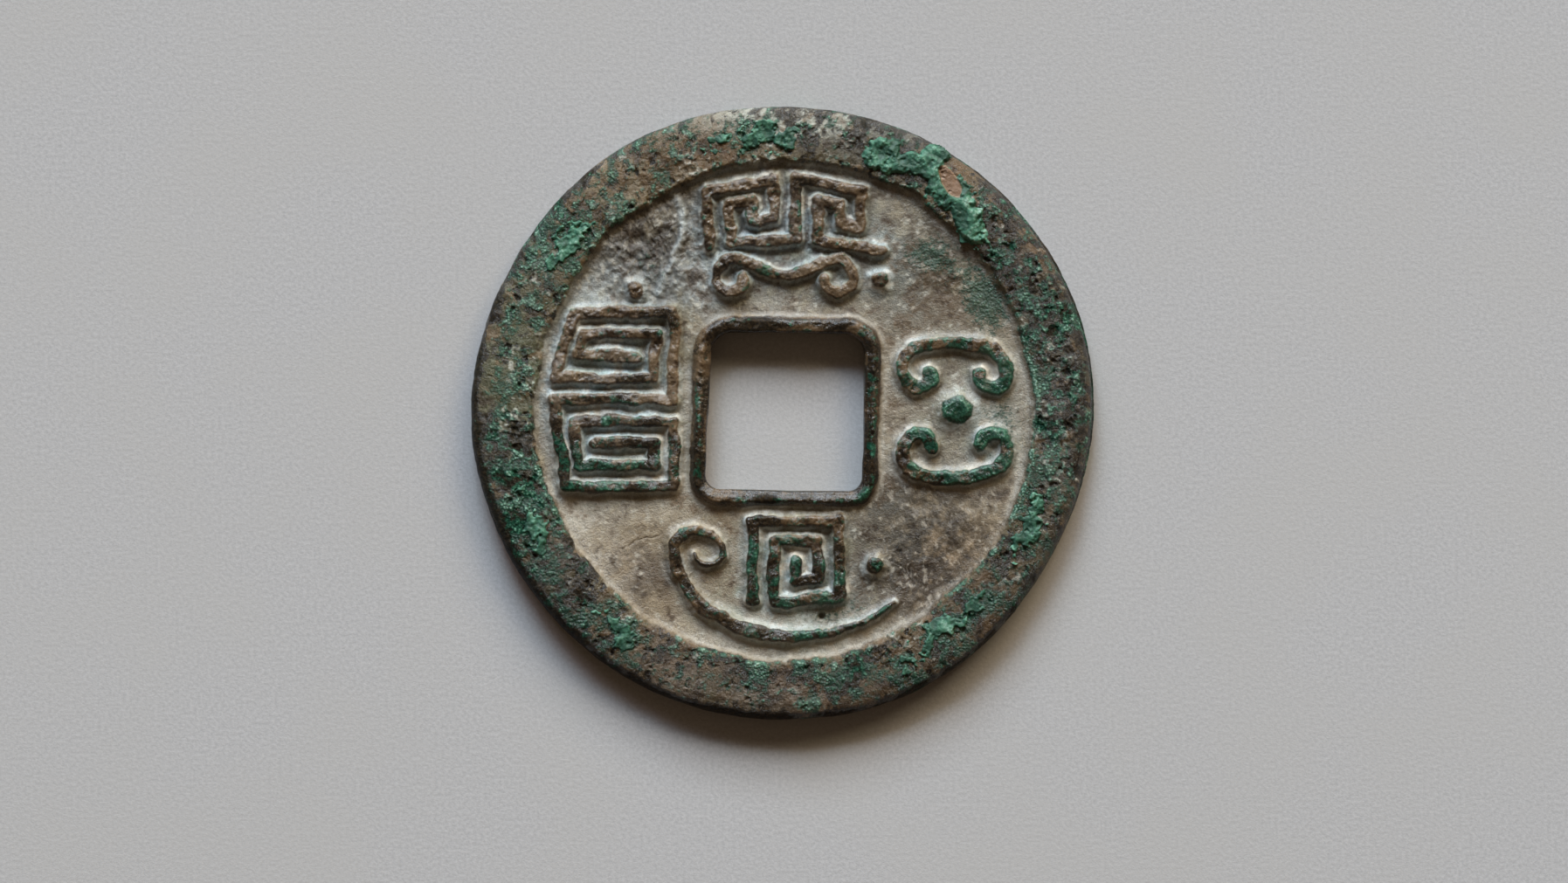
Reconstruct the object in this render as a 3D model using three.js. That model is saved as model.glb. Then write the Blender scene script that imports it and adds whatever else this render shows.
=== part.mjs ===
// A Chinese cash coin: a round cast bronze coin with a square hole for its string.
// Millimetres, +Z up. The coin lies on its reverse, centred on the Z axis, with its lowest face at z = 0.
// On the obverse, which faces up, +Y is the top of the design and +X its right.
// The rims stand proud of the field on both faces. The four places round the hole hold frets, curled clouds,
// scrolls and pearls as raised strokes, and lumps of malachite crust have grown on the outer rim's land.

import * as THREE from "three";
import { mergeVertices } from "three/addons/utils/BufferGeometryUtils.js";

// Driving dimensions of the casting
const coinDiameter = 29;
const fieldThickness = 0.8;
const obverseRimHeight = 0.52;
const reverseRimHeight = 0.3;
const obverseRimWidth = 2.7;
const reverseRimWidth = 3.0;
const rimEdgeRadius = 0.5;
const rimShoulderRun = 0.32;

// Driving dimensions of the hole and the rim round it
const holeWidth = 7.4;
const innerRimWidth = 0.9;
const innerRimDrop = 0.05;
const innerShoulderRun = 0.24;
const holeEdgeRadius = 0.2;

// Driving dimensions of the raised strokes
const strokeHeight = 0.46;
const strokeFill = 0.66;
const boldFill = 0.76;
const strokeTipShare = 0.35;
const placeClearance = 0.26;
const smallPearlDiameter = 0.95;
const largePearlDiameter = 1.6;

// Sections as shares. A stroke's, from its foot to its crown: share of the width, share of the height.
// A crust lump's, from its middle to its foot and in again underneath: share of the reach, of the height.
const strokeSection = [[1, 0], [0.84, 0.5], [0.6, 0.85], [0, 1]];
const crustSection = [[0, 1], [0.35, 0.97], [0.7, 0.85], [0.92, 0.5], [1, 0], [0, 0]];
const crustHeight = 0.22;
const crustRaggedness = 0.12;
const crustLumpiness = 0.18;

// How finely curves are drawn
const rimSteps = 96;
const edgeSteps = 5;
const shoulderSteps = 4;
const holeCornerSteps = 7;
const holeSideSteps = 3;
const sharpTurn = 0.7;
const cornerSteps = 3;
const strokeEndSteps = 6;
const curveStep = 0.36;
const voluteGuidesPerTurn = 10;
const pearlSteps = 16;
const pearlRings = 4;
const crustSectors = 28;

// The cast outline isn't a true circle, nor quite centred on the field: each wave moves the edge in and
// out by its size, and a single wave moves it to one side
const outOfRound = [
  { waves: 1, size: 0.13, turn: 2.6 },
  { waves: 2, size: 0.08, turn: -0.5 },
  { waves: 3, size: 0.06, turn: -1.5 },
  { waves: 4, size: 0.055, turn: -1.3 },
  { waves: 6, size: 0.045, turn: 0 },
];

// Corners of the hole, anticlockwise from the top right, each drawn off a true square by its shift
const holeCorners = [
  { right: 1, up: 1, shift: [0.03, -0.11], radius: 0.95 },
  { right: -1, up: 1, shift: [0.3, -0.03], radius: 1 },
  { right: -1, up: -1, shift: [-0.04, 0.03], radius: 0.7 },
  { right: 1, up: -1, shift: [-0.1, -0.09], radius: 0.65 },
];

// Levels and radii that the pieces share
const coinRadius = coinDiameter / 2;
const fieldBottom = reverseRimHeight;
const fieldTop = fieldBottom + fieldThickness;
const rimTop = fieldTop + obverseRimHeight;
const obverseLandRadius = coinRadius - obverseRimWidth;
const reverseLandRadius = coinRadius - reverseRimWidth;
const obverseFootRadius = obverseLandRadius - rimShoulderRun;
const landWidth = obverseRimWidth - rimEdgeRadius;
const landMiddleRadius = obverseLandRadius + landWidth / 2;
const waistRadius = Math.min(obverseFootRadius, reverseLandRadius - rimShoulderRun);
const innerRimFoot = holeWidth / 2 + innerRimWidth;

// Points of an S-shaped shoulder between two [across, z] points, both included
function shoulder([across0, z0], [across1, z1]) {
  const points = [];
  for (let i = 0; i <= shoulderSteps; i++) {
    const t = i / shoulderSteps;
    const ease = (1 - Math.cos(Math.PI * t)) / 2;
    points.push([across0 + (across1 - across0) * t, z0 + (z1 - z0) * ease]);
  }
  return points;
}

// Points of a quarter circle round [across, z], from one angle to the next, both included
function quarter([across, z], radius, startAngle, endAngle) {
  const points = [];
  for (let i = 0; i <= edgeSteps; i++) {
    const angle = startAngle + ((endAngle - startAngle) * i) / edgeSteps;
    points.push([across + radius * Math.cos(angle), z + radius * Math.sin(angle)]);
  }
  return points;
}

// A closed solid from rings of as many points each, joined to the next by quads. A quad whose corners
// coincide becomes a triangle or vanishes, so a ring may shrink to a line or a point.
function skin(rings, closeRings) {
  const size = rings[0].length;
  const positions = rings.flat(2);
  const triangles = [];
  const ringPairs = closeRings ? rings.length : rings.length - 1;
  for (let j = 0; j < ringPairs; j++) {
    const next = (j + 1) % rings.length;
    for (let i = 0; i < size; i++) {
      const side = (i + 1) % size;
      const [a, b] = [j * size + i, next * size + i];
      const [c, d] = [next * size + side, j * size + side];
      triangles.push([a, b, c], [a, c, d]);
    }
  }
  const loose = new THREE.BufferGeometry();
  loose.setAttribute("position", new THREE.Float32BufferAttribute(positions, 3));
  loose.setIndex(triangles.flat());
  const merged = mergeVertices(loose);
  const kept = [];
  for (let i = 0; i < merged.index.count; i += 3) {
    const [a, b, c] = [0, 1, 2].map((k) => merged.index.getX(i + k));
    if (a !== b && b !== c && c !== a) kept.push(a, b, c);
  }
  merged.setIndex(kept);
  merged.computeVertexNormals();
  return merged;
}

// Materials, in the photographed colours
const fieldBronze = new THREE.MeshStandardMaterial({ color: 0x85775f, roughness: 0.85, metalness: 0.15 });
const rimBronze = new THREE.MeshStandardMaterial({ color: 0x4a4a3c, roughness: 0.7, metalness: 0.3 });
const strokeBronze = new THREE.MeshStandardMaterial({ color: 0x3b3a2b, roughness: 0.65, metalness: 0.35 });
const malachite = new THREE.MeshStandardMaterial({ color: 0x2f7a5c, roughness: 0.9, metalness: 0 });

const coin = new THREE.Group();

function addPiece(parent, name, geometry, material) {
  const piece = new THREE.Mesh(geometry, material);
  piece.name = name;
  parent.add(piece);
  return piece;
}

// Outer rim
function rimAngles() {
  return Array.from({ length: rimSteps }, (_, i) => (2 * Math.PI * i) / rimSteps);
}

// The waves fade out from the edge to the waist, where the field seats in a true circle
function rimPoint(angle, radius, z) {
  const edgeShift = outOfRound.reduce(
    (sum, wave) => sum + wave.size * Math.cos(wave.waves * angle + wave.turn),
    0,
  );
  const r = radius + (edgeShift * (radius - waistRadius)) / (coinRadius - waistRadius);
  return [r * Math.cos(angle), r * Math.sin(angle), z];
}

function outerRimSection() {
  const lowCorner = [coinRadius - rimEdgeRadius, rimEdgeRadius];
  const highCorner = [coinRadius - rimEdgeRadius, rimTop - rimEdgeRadius];
  return [
    [waistRadius, fieldBottom],
    ...shoulder([reverseLandRadius - rimShoulderRun, fieldBottom], [reverseLandRadius, 0]),
    ...quarter(lowCorner, rimEdgeRadius, -Math.PI / 2, 0),
    ...quarter(highCorner, rimEdgeRadius, 0, Math.PI / 2),
    ...shoulder([obverseLandRadius, rimTop], [obverseFootRadius, fieldTop]),
    [waistRadius, fieldTop],
  ];
}

function outerRim() {
  const section = outerRimSection();
  const rings = rimAngles().map((angle) => section.map(([radius, z]) => rimPoint(angle, radius, z)));
  return skin(rings, true);
}

addPiece(coin, "outer_rim", outerRim(), rimBronze);

// Inner rim, round the square hole
// The hole's outline: points with the direction that faces away from the hole at each
function holeOutline() {
  const corners = holeCorners.map(
    ({ right, up, shift }) =>
      new THREE.Vector2((right * holeWidth) / 2 + shift[0], (up * holeWidth) / 2 + shift[1]),
  );
  const arcs = corners.map((corner, i) => {
    const radius = holeCorners[i].radius;
    const toLast = corners[(i + 3) % 4].clone().sub(corner).normalize();
    const toNext = corners[(i + 1) % 4].clone().sub(corner).normalize();
    const halfAngle = Math.acos(toLast.dot(toNext)) / 2;
    const inwards = toLast.clone().add(toNext).normalize();
    const centre = corner.clone().addScaledVector(inwards, radius / Math.sin(halfAngle));
    const middle = inwards.negate().angle();
    const reach = Math.PI / 2 - halfAngle;
    return Array.from({ length: holeCornerSteps + 1 }, (_, k) => {
      const angle = middle - reach + (2 * reach * k) / holeCornerSteps;
      const away = new THREE.Vector2(Math.cos(angle), Math.sin(angle));
      return { at: centre.clone().addScaledVector(away, radius), away };
    });
  });
  return arcs.flatMap((arc, i) => {
    const last = arc[arc.length - 1];
    const next = arcs[(i + 1) % 4][0];
    const side = Array.from({ length: holeSideSteps - 1 }, (_, k) => ({
      at: last.at.clone().lerp(next.at, (k + 1) / holeSideSteps),
      away: last.away,
    }));
    return [...arc, ...side];
  });
}

// The inner rim's section, across from the hole's wall
function innerRimSection() {
  const low = innerRimDrop;
  const high = rimTop - innerRimDrop;
  const landEdge = innerRimWidth - innerShoulderRun;
  return [
    ...quarter([holeEdgeRadius, low + holeEdgeRadius], holeEdgeRadius, Math.PI, 1.5 * Math.PI),
    ...shoulder([landEdge, low], [innerRimWidth, fieldBottom]),
    ...shoulder([innerRimWidth, fieldTop], [landEdge, high]),
    ...quarter([holeEdgeRadius, high - holeEdgeRadius], holeEdgeRadius, Math.PI / 2, Math.PI),
  ];
}

function innerRim(outline) {
  const section = innerRimSection();
  const rings = outline.map(({ at, away }) =>
    section.map(([across, z]) => [at.x + away.x * across, at.y + away.y * across, z]),
  );
  return skin(rings, true);
}

const outlineOfHole = holeOutline();
addPiece(coin, "inner_rim", innerRim(outlineOfHole), rimBronze);

// Field plate, seated between the two rims face to face
function fieldPlate(outline) {
  const round = rimAngles().map((angle) => {
    const [x, y] = rimPoint(angle, waistRadius, 0);
    return new THREE.Vector2(x, y);
  });
  const square = outline.map(({ at, away }) => at.clone().addScaledVector(away, innerRimWidth));
  const plan = new THREE.Shape(round);
  plan.holes.push(new THREE.Path(square.reverse()));
  return new THREE.ExtrudeGeometry(plan, { depth: fieldThickness, bevelEnabled: false });
}

addPiece(coin, "field_plate", fieldPlate(outlineOfHole), fieldBronze).position.z = fieldBottom;

// The four places round the hole
// A place is drawn as if it were the top one, in modules: along is counted along the hole's side from its
// middle, and out from the inner rim to the outer one, where the drawing bends to follow the rim's curve.
const alongModuleCount = 9;
const outModuleCount = 6;
const alongModule = (2 * innerRimFoot) / alongModuleCount;
const outModule = (obverseFootRadius - innerRimFoot - 2 * placeClearance) / (outModuleCount + boldFill);
const narrowestModule = Math.min(alongModule, outModule);
const strokeWidth = strokeFill * narrowestModule;
const boldWidth = boldFill * narrowestModule;
const placeInset = placeClearance + boldWidth / 2;

function addPlace(degrees) {
  const place = new THREE.Group();
  place.position.z = fieldTop;
  place.rotation.z = THREE.MathUtils.degToRad(degrees);
  coin.add(place);
  return place;
}

function placePoint([along, out]) {
  const sideways = along * alongModule;
  const nearest = innerRimFoot + placeInset;
  const furthest = Math.sqrt((obverseFootRadius - placeInset) ** 2 - sideways ** 2);
  return new THREE.Vector2(sideways, nearest + ((furthest - nearest) * out) / outModuleCount);
}

// A line straight from corner to corner
const corneredLine = (corners) => corners.map(placePoint);

// A smooth line through points, drawn in even steps
function smoothLine(points) {
  const curve = new THREE.SplineCurve(points.map(placePoint));
  return curve.getSpacedPoints(Math.round(curve.getLength() / curveStep));
}

// Points of a round spiral from its middle outwards, in modules. It ends at endTurn and winds
// anticlockwise if turns is positive, both counted in whole turns.
function volute([along, out], innerRadius, outerRadius, endTurn, turns) {
  const steps = Math.ceil(Math.abs(turns) * voluteGuidesPerTurn);
  return Array.from({ length: steps + 1 }, (_, i) => {
    const t = i / steps;
    const angle = 2 * Math.PI * (endTurn - turns * (1 - t));
    const radius = innerRadius + (outerRadius - innerRadius) * t;
    return [along + radius * Math.cos(angle), out + radius * Math.sin(angle)];
  });
}

// The same points in reverse order, mirrored side to side, turned upside down, or given a half turn
const mirrored = (points) => points.map(([along, out]) => [-along, out]).reverse();
const flipped = (points) => points.map(([along, out]) => [along, outModuleCount - out]).reverse();
const halfTurned = (points) => points.map(([along, out]) => [-along, outModuleCount - out]).reverse();
const shifted = (points, by) => points.map(([along, out]) => [along + by, out]);

// The stations of a stroke along its line: a point with the offsets of its left and right sides for a
// half width of 1. Where the line turns sharply the outer side is rounded and the inner side is sharp.
function stationsOf(line) {
  const acrossAt = (angle) => new THREE.Vector2(-Math.sin(angle), Math.cos(angle));
  return line.flatMap((at, i) => {
    const into = Math.max(i, 1);
    const outOf = Math.min(i + 1, line.length - 1);
    const before = line[into].clone().sub(line[into - 1]);
    const after = line[outOf].clone().sub(line[outOf - 1]);
    const turn = Math.atan2(before.cross(after), before.dot(after));
    const left = acrossAt(before.angle() + turn / 2).divideScalar(Math.cos(turn / 2));
    const right = left.clone().negate();
    if (Math.abs(turn) < sharpTurn) return [{ at, left, right }];
    return Array.from({ length: cornerSteps + 1 }, (_, k) => {
      const fan = acrossAt(before.angle() + (turn * k) / cornerSteps);
      return turn > 0 ? { at, left, right: fan.negate() } : { at, left: fan, right };
    });
  });
}

// A raised stroke with cast draft on its sides, a crowned top, round ends and a flat foot at z = 0.
// widthAt gives the stroke's width at a share of its length.
function raisedStroke(line, widthAt) {
  const stations = stationsOf(line);
  const last = stations.length - 1;
  const rings = [[0, 0], ...strokeSection].map(([widthShare, heightShare]) => {
    const pointAt = (i, across) => {
      const { x, y } = stations[i].at.clone().addScaledVector(across, (widthShare * widthAt(i / last)) / 2);
      return [x, y, strokeHeight * heightShare];
    };
    const roundEnd = (i, side) =>
      Array.from({ length: strokeEndSteps - 1 }, (_, k) => {
        const swing = (Math.PI * (k + 1)) / strokeEndSteps;
        return pointAt(i, stations[i][side].clone().rotateAround(new THREE.Vector2(), swing));
      });
    return [
      ...stations.map((station, i) => pointAt(i, station.right)),
      ...roundEnd(last, "right"),
      ...stations.map((station, i) => pointAt(i, station.left)).reverse(),
      ...roundEnd(0, "left"),
    ];
  });
  return skin(rings.reverse(), false);
}

const even = (width) => () => width;
const tapered = (width) => (t) => width * (strokeTipShare + (1 - strokeTipShare) * Math.sin(Math.PI * t));

// A round boss with a flat foot at z = 0
function pearl(diameter) {
  const profile = [new THREE.Vector2(0, 0)];
  for (let i = 0; i <= pearlRings; i++) {
    const angle = (Math.PI / 2) * (i / pearlRings);
    profile.push(new THREE.Vector2((diameter / 2) * Math.cos(angle), strokeHeight * Math.sin(angle)));
  }
  return new THREE.LatheGeometry(profile, pearlSteps).rotateX(Math.PI / 2);
}

function addPearl(place, name, at, diameter) {
  const { x, y } = placePoint(at);
  addPiece(place, name, pearl(diameter), strokeBronze).position.set(x, y, 0);
}

// Top: a running thunder fret over a curled cloud
function fillTop(place) {
  const key = [[0, 3], [0, 6], [3, 6], [3, 4], [2, 4], [2, 5], [1, 5], [1, 3]];
  const fret = corneredLine([...shifted(key, -3.5), ...shifted(key, 0.5), [4.5, 3]]);
  addPiece(place, "top_fret", raisedStroke(fret, even(strokeWidth)), strokeBronze);

  const curl = volute([-2.3, 1.05], 0.45, 1.05, 0.25, -0.75);
  const cloud = smoothLine([...curl, [0, 1.2], ...mirrored(curl)]);
  addPiece(place, "top_cloud", raisedStroke(cloud, even(strokeWidth)), strokeBronze);
  addPearl(place, "top_pearl", [4.4, 1.2], smallPearlDiameter);
}

// Left: one thunder fret that winds in at both ends
function fillLeft(place) {
  const halfFret = [[2, 2], [2, 5], [3, 5], [3, 1], [1, 1], [1, 6], [4, 6], [4, 0], [0, 0]];
  const fret = corneredLine(shifted([...halfFret, ...halfTurned(halfFret)], 0.5));
  addPiece(place, "left_fret", raisedStroke(fret, even(strokeWidth)), strokeBronze);
  addPearl(place, "left_pearl", [5.5, 2.6], smallPearlDiameter);
}

// Right: two open scrolls that face each other across a pearl
function fillRight(place) {
  const curl = volute([-1.75, 4.75], 0.5, 1.15, 0.5, 0.72);
  const scroll = [...curl, [-3.1, 3], ...flipped(curl)];
  const upper = smoothLine(scroll);
  const lower = smoothLine(mirrored(scroll));
  addPiece(place, "right_upper_scroll", raisedStroke(upper, even(boldWidth)), strokeBronze);
  addPiece(place, "right_lower_scroll", raisedStroke(lower, even(boldWidth)), strokeBronze);
  addPearl(place, "right_pearl", [0, 3], largePearlDiameter);
}

// Bottom: a squared spiral, and a cloud whose tail sweeps round under it along the rim
function fillBottom(place) {
  const spiral = [[0, 4], [0, 0], [-4, 0], [-4, 4], [-1, 4], [-1, 1], [-3, 1], [-3, 3], [-2, 3], [-2, 2]];
  const fret = corneredLine(shifted(spiral, 1.5));
  addPiece(place, "bottom_fret", raisedStroke(fret, even(strokeWidth)), strokeBronze);

  const curl = volute([3.75, 1.7], 0.45, 1.35, 0, 0.95);
  const tail = [[4.8, 3.3], [3.6, 4.9], [1.6, 5.6], [-1, 5.8], [-3.2, 5.6], [-5, 5.1]];
  const cloud = smoothLine([...curl, ...tail]);
  addPiece(place, "bottom_cloud", raisedStroke(cloud, tapered(boldWidth)), strokeBronze);
  addPearl(place, "bottom_pearl", [-4.1, 2.6], smallPearlDiameter);
}

fillTop(addPlace(0));
fillLeft(addPlace(90));
fillBottom(addPlace(180));
fillRight(addPlace(-90));

// Malachite crust: low lumps on the outer rim's obverse land. The angle is in degrees from +X, inwards is
// how far the lump's middle lies from the land's, and these lengths and widths are in widths of the land.
// The height is in heights of the thickest lump.
const crusts = [
  { angle: 57, inwards: 0.06, length: 3.1, width: 0.72, height: 1, seed: 0.4 },
  { angle: 97, inwards: 0, length: 1.7, width: 0.52, height: 0.55, seed: 1.9 },
  { angle: 142, inwards: 0, length: 1.5, width: 0.52, height: 0.55, seed: 3.1 },
  { angle: 205, inwards: 0.05, length: 1.3, width: 0.48, height: 0.45, seed: 4.4 },
  { angle: 233, inwards: 0.05, length: 1.1, width: 0.52, height: 0.55, seed: 5.2 },
  { angle: 305, inwards: 0.05, length: 1.6, width: 0.56, height: 0.6, seed: 2.6 },
  { angle: 336, inwards: 0, length: 1.4, width: 0.52, height: 0.55, seed: 0.9 },
];

// A lump on the +X side of the rim, with a flat foot at z = 0. The seed makes each one's outline its own.
function crustLump({ inwards, length, width, height, seed }) {
  const middleRadius = landMiddleRadius - inwards * landWidth;
  const rings = crustSection.map(([reachShare, heightShare]) =>
    Array.from({ length: crustSectors }, (_, i) => {
      const turn = (2 * Math.PI * i) / crustSectors;
      const ragged = 1 + crustRaggedness * (Math.cos(3 * turn + seed) + Math.sin(5 * turn + 2 * seed) / 2);
      const lumpy = 1 + crustLumpiness * reachShare * Math.sin(2 * turn + 3 * seed);
      const reach = (reachShare * ragged * landWidth) / 2;
      const radius = middleRadius + width * reach * Math.cos(turn);
      const bearing = (length * reach * Math.sin(turn)) / middleRadius;
      const z = crustHeight * height * heightShare * lumpy;
      return [radius * Math.cos(bearing), radius * Math.sin(bearing), z];
    }),
  );
  return skin(rings, false);
}

crusts.forEach((crust, i) => {
  const lump = addPiece(coin, `malachite_crust_${i + 1}`, crustLump(crust), malachite);
  lump.rotation.z = THREE.MathUtils.degToRad(crust.angle);
  lump.position.z = rimTop;
});

export default coin;
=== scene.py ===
"""A Chinese cash coin of old cast bronze on a pale surface: relief, patina, floor, light and camera.

Sizes are in millimetres up to the meshes, which are in metres. The relief and the patina are worked out as
maps over the coin's face, seen from above, and every piece takes its heights and its patina from them.
"""

import math

import bpy
import numpy as np
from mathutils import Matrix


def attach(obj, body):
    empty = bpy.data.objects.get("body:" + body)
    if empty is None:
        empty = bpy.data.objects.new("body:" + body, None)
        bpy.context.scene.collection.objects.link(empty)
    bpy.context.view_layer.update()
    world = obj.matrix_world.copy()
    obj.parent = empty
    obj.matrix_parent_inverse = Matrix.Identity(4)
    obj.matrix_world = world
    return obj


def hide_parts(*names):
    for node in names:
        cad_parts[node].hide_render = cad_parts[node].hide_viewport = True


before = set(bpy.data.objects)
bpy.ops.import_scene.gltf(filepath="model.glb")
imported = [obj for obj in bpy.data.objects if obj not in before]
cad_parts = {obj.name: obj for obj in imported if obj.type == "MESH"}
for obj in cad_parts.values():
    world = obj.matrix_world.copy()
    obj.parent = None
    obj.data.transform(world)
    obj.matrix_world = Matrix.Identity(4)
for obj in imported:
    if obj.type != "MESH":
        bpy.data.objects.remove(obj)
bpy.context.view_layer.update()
MM = 0.001

# The casting, with the sizes of its solids
COIN_RADIUS = 14.5
FIELD_BOTTOM, FIELD_TOP, RIM_TOP = 0.3, 1.1, 1.62
OBVERSE_LAND, REVERSE_LAND = 11.8, 11.5
SHOULDER_RUN = 0.32
EDGE_DROP = 0.62
OBVERSE_FOOT = OBVERSE_LAND - SHOULDER_RUN
WAIST = REVERSE_LAND - SHOULDER_RUN
EDGE_RADIUS = 0.5
HOLE_HALF = 3.7
INNER_RIM, INNER_DROP, INNER_SHOULDER, HOLE_EDGE = 0.9, 0.05, 0.24, 0.2
STROKE_HEIGHT = 0.46
# The waves in the outline: how many round the coin, size, turn
EDGE_WAVES = ((1, 0.13, 2.6), (2, 0.08, -0.5), (3, 0.06, -1.5), (4, 0.055, -1.3), (6, 0.045, 0.0))
# The hole's corners: side, shift and radius
HOLE_CORNERS = (
    (1, 1, 0.03, -0.11, 0.95),
    (-1, 1, 0.3, -0.03, 1.0),
    (-1, -1, -0.04, 0.03, 0.7),
    (1, -1, -0.1, -0.09, 0.65),
)

# The places of the relief, in modules
ALONG_COUNT, OUT_COUNT = 9, 6
STROKE_FILL, BOLD_FILL, TIP_SHARE, CLEARANCE = 0.66, 0.76, 0.35, 0.26
SMALL_PEARL, LARGE_PEARL = 0.95, 1.6
INNER_FOOT = HOLE_HALF + INNER_RIM
ALONG_MODULE = 2 * INNER_FOOT / ALONG_COUNT
OUT_MODULE = (OBVERSE_FOOT - INNER_FOOT - 2 * CLEARANCE) / (OUT_COUNT + BOLD_FILL)
MODULE = min(ALONG_MODULE, OUT_MODULE)
STROKE, BOLD = STROKE_FILL * MODULE, BOLD_FILL * MODULE
INSET = CLEARANCE + BOLD / 2

# The small crust lumps: height, angle, inwards, length, width, seed
CRUSTS = (
    (0.55, 97, 0.0, 1.7, 0.52, 1.9),
    (0.55, 142, 0.0, 1.5, 0.52, 3.1),
    (0.45, 205, 0.05, 1.3, 0.48, 4.4),
    (0.55, 233, 0.05, 1.1, 0.52, 5.2),
    (0.6, 305, 0.05, 1.6, 0.56, 2.6),
    (0.55, 336, 0.0, 1.4, 0.52, 0.9),
)
CRUST_HEIGHT = 0.22
LAND_WIDTH = COIN_RADIUS - OBVERSE_LAND - EDGE_RADIUS
LAND_MIDDLE = OBVERSE_LAND + LAND_WIDTH / 2

# Maps over the coin's face
PITCH = 0.03
CELLS = 1024
AXIS = (np.arange(CELLS) - (CELLS - 1) / 2) * PITCH
X, Y = np.meshgrid(AXIS, AXIS)
THETA = np.arctan2(Y, X)


def smooth(t):
    t = np.clip(t, 0, 1)
    return t * t * (3 - 2 * t)


def ease(t):
    return (1 - np.cos(np.pi * np.clip(t, 0, 1))) / 2


def mix(a, b, t):
    return a + (b - a) * t


def blurred(field, size):
    across = np.fft.rfftfreq(CELLS, PITCH)[None, :]
    up = np.fft.fftfreq(CELLS, PITCH)[:, None]
    keep = np.exp(-2 * (math.pi * size) ** 2 * (up * up + across * across))
    return np.fft.irfft2(np.fft.rfft2(field) * keep, field.shape)


def noise(seed, size):
    made = blurred(np.random.default_rng(seed).standard_normal((CELLS, CELLS)), size)
    return (made - made.mean()) / made.std()


def cloudy(seed, size, octaves=4, gain=0.65):
    total = sum(gain**i * noise(seed + i, size / 2**i) for i in range(octaves))
    return total / total.std()


def sample(field, x, y):
    """A map's values at points between its cells."""
    u = np.clip(x / PITCH + (CELLS - 1) / 2, 0, CELLS - 1.001)
    v = np.clip(y / PITCH + (CELLS - 1) / 2, 0, CELLS - 1.001)
    i, j = u.astype(int), v.astype(int)
    fu, fv = u - i, v - j
    if field.ndim == 3:
        fu, fv = fu[..., None], fv[..., None]
    low = field[j, i] * (1 - fu) + field[j, i + 1] * fu
    high = field[j + 1, i] * (1 - fu) + field[j + 1, i + 1] * fu
    return low * (1 - fv) + high * fv


def edge_shift(theta):
    return sum(size * np.cos(n * theta + turn) for n, size, turn in EDGE_WAVES)


def nominal_radius(x, y):
    """The radius a point would have in a coin of true circles."""
    shift = edge_shift(np.arctan2(y, x))
    span = COIN_RADIUS - WAIST
    return (np.hypot(x, y) * span + shift * WAIST) / (span + shift)


def real_radius(rho, theta):
    return rho + edge_shift(theta) * (rho - WAIST) / (COIN_RADIUS - WAIST)


# The relief's lines


def place_point(p):
    sideways = p[0] * ALONG_MODULE
    nearest = INNER_FOOT + INSET
    furthest = math.sqrt((OBVERSE_FOOT - INSET) ** 2 - sideways**2)
    return sideways, nearest + (furthest - nearest) * p[1] / OUT_COUNT


def turned(points, degrees):
    cos, sin = math.cos(math.radians(degrees)), math.sin(math.radians(degrees))
    x, y = np.array(points, float).T
    return np.stack([x * cos - y * sin, x * sin + y * cos], 1)


def cornered(points, degrees):
    return turned([place_point(point) for point in points], degrees)


def curved(points, degrees, per_span=8):
    """The same smooth line through points as the solids follow."""
    p = np.array([place_point(point) for point in points])
    p = np.vstack([p[:1], p, p[-1:]])
    out = []
    for a, b, c, d in zip(p, p[1:], p[2:], p[3:]):
        leaving, arriving = (c - a) / 2, (d - b) / 2
        cubic = 2 * b - 2 * c + leaving + arriving
        square = -3 * b + 3 * c - 2 * leaving - arriving
        for t in np.arange(per_span) / per_span:
            out.append(cubic * t**3 + square * t**2 + leaving * t + b)
    out.append(p[-1])
    return turned(out, degrees)


def volute(centre, inner, outer, end_turn, turns, guides=10):
    steps = math.ceil(abs(turns) * guides)
    made = []
    for t in np.arange(steps + 1) / steps:
        angle = 2 * math.pi * (end_turn - turns * (1 - t))
        radius = inner + (outer - inner) * t
        made.append((centre[0] + radius * math.cos(angle), centre[1] + radius * math.sin(angle)))
    return made


def mirrored(points):
    return [(-a, o) for a, o in points][::-1]


def flipped(points):
    return [(a, OUT_COUNT - o) for a, o in points][::-1]


def half_turned(points):
    return [(-a, OUT_COUNT - o) for a, o in points][::-1]


def shifted(points, by):
    return [(a + by, o) for a, o in points]


KEY = [(0, 3), (0, 6), (3, 6), (3, 4), (2, 4), (2, 5), (1, 5), (1, 3)]
HALF_FRET = [(2, 2), (2, 5), (3, 5), (3, 1), (1, 1), (1, 6), (4, 6), (4, 0), (0, 0)]
SPIRAL = [(0, 4), (0, 0), (-4, 0), (-4, 4), (-1, 4), (-1, 1), (-3, 1), (-3, 3), (-2, 3), (-2, 2)]
TAIL = [(4.8, 3.3), (3.6, 4.9), (1.6, 5.6), (-1, 5.8), (-3.2, 5.6), (-5, 5.1)]
TOP_CURL = volute((-2.3, 1.05), 0.45, 1.05, 0.25, -0.75)
RIGHT_CURL = volute((-1.75, 4.75), 0.5, 1.15, 0.5, 0.72)
BOTTOM_CURL = volute((3.75, 1.7), 0.45, 1.35, 0, 0.95)
SCROLL = [*RIGHT_CURL, (-3.1, 3), *flipped(RIGHT_CURL)]
TOP, LEFT, BOTTOM, RIGHT = 0, 90, 180, -90

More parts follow.
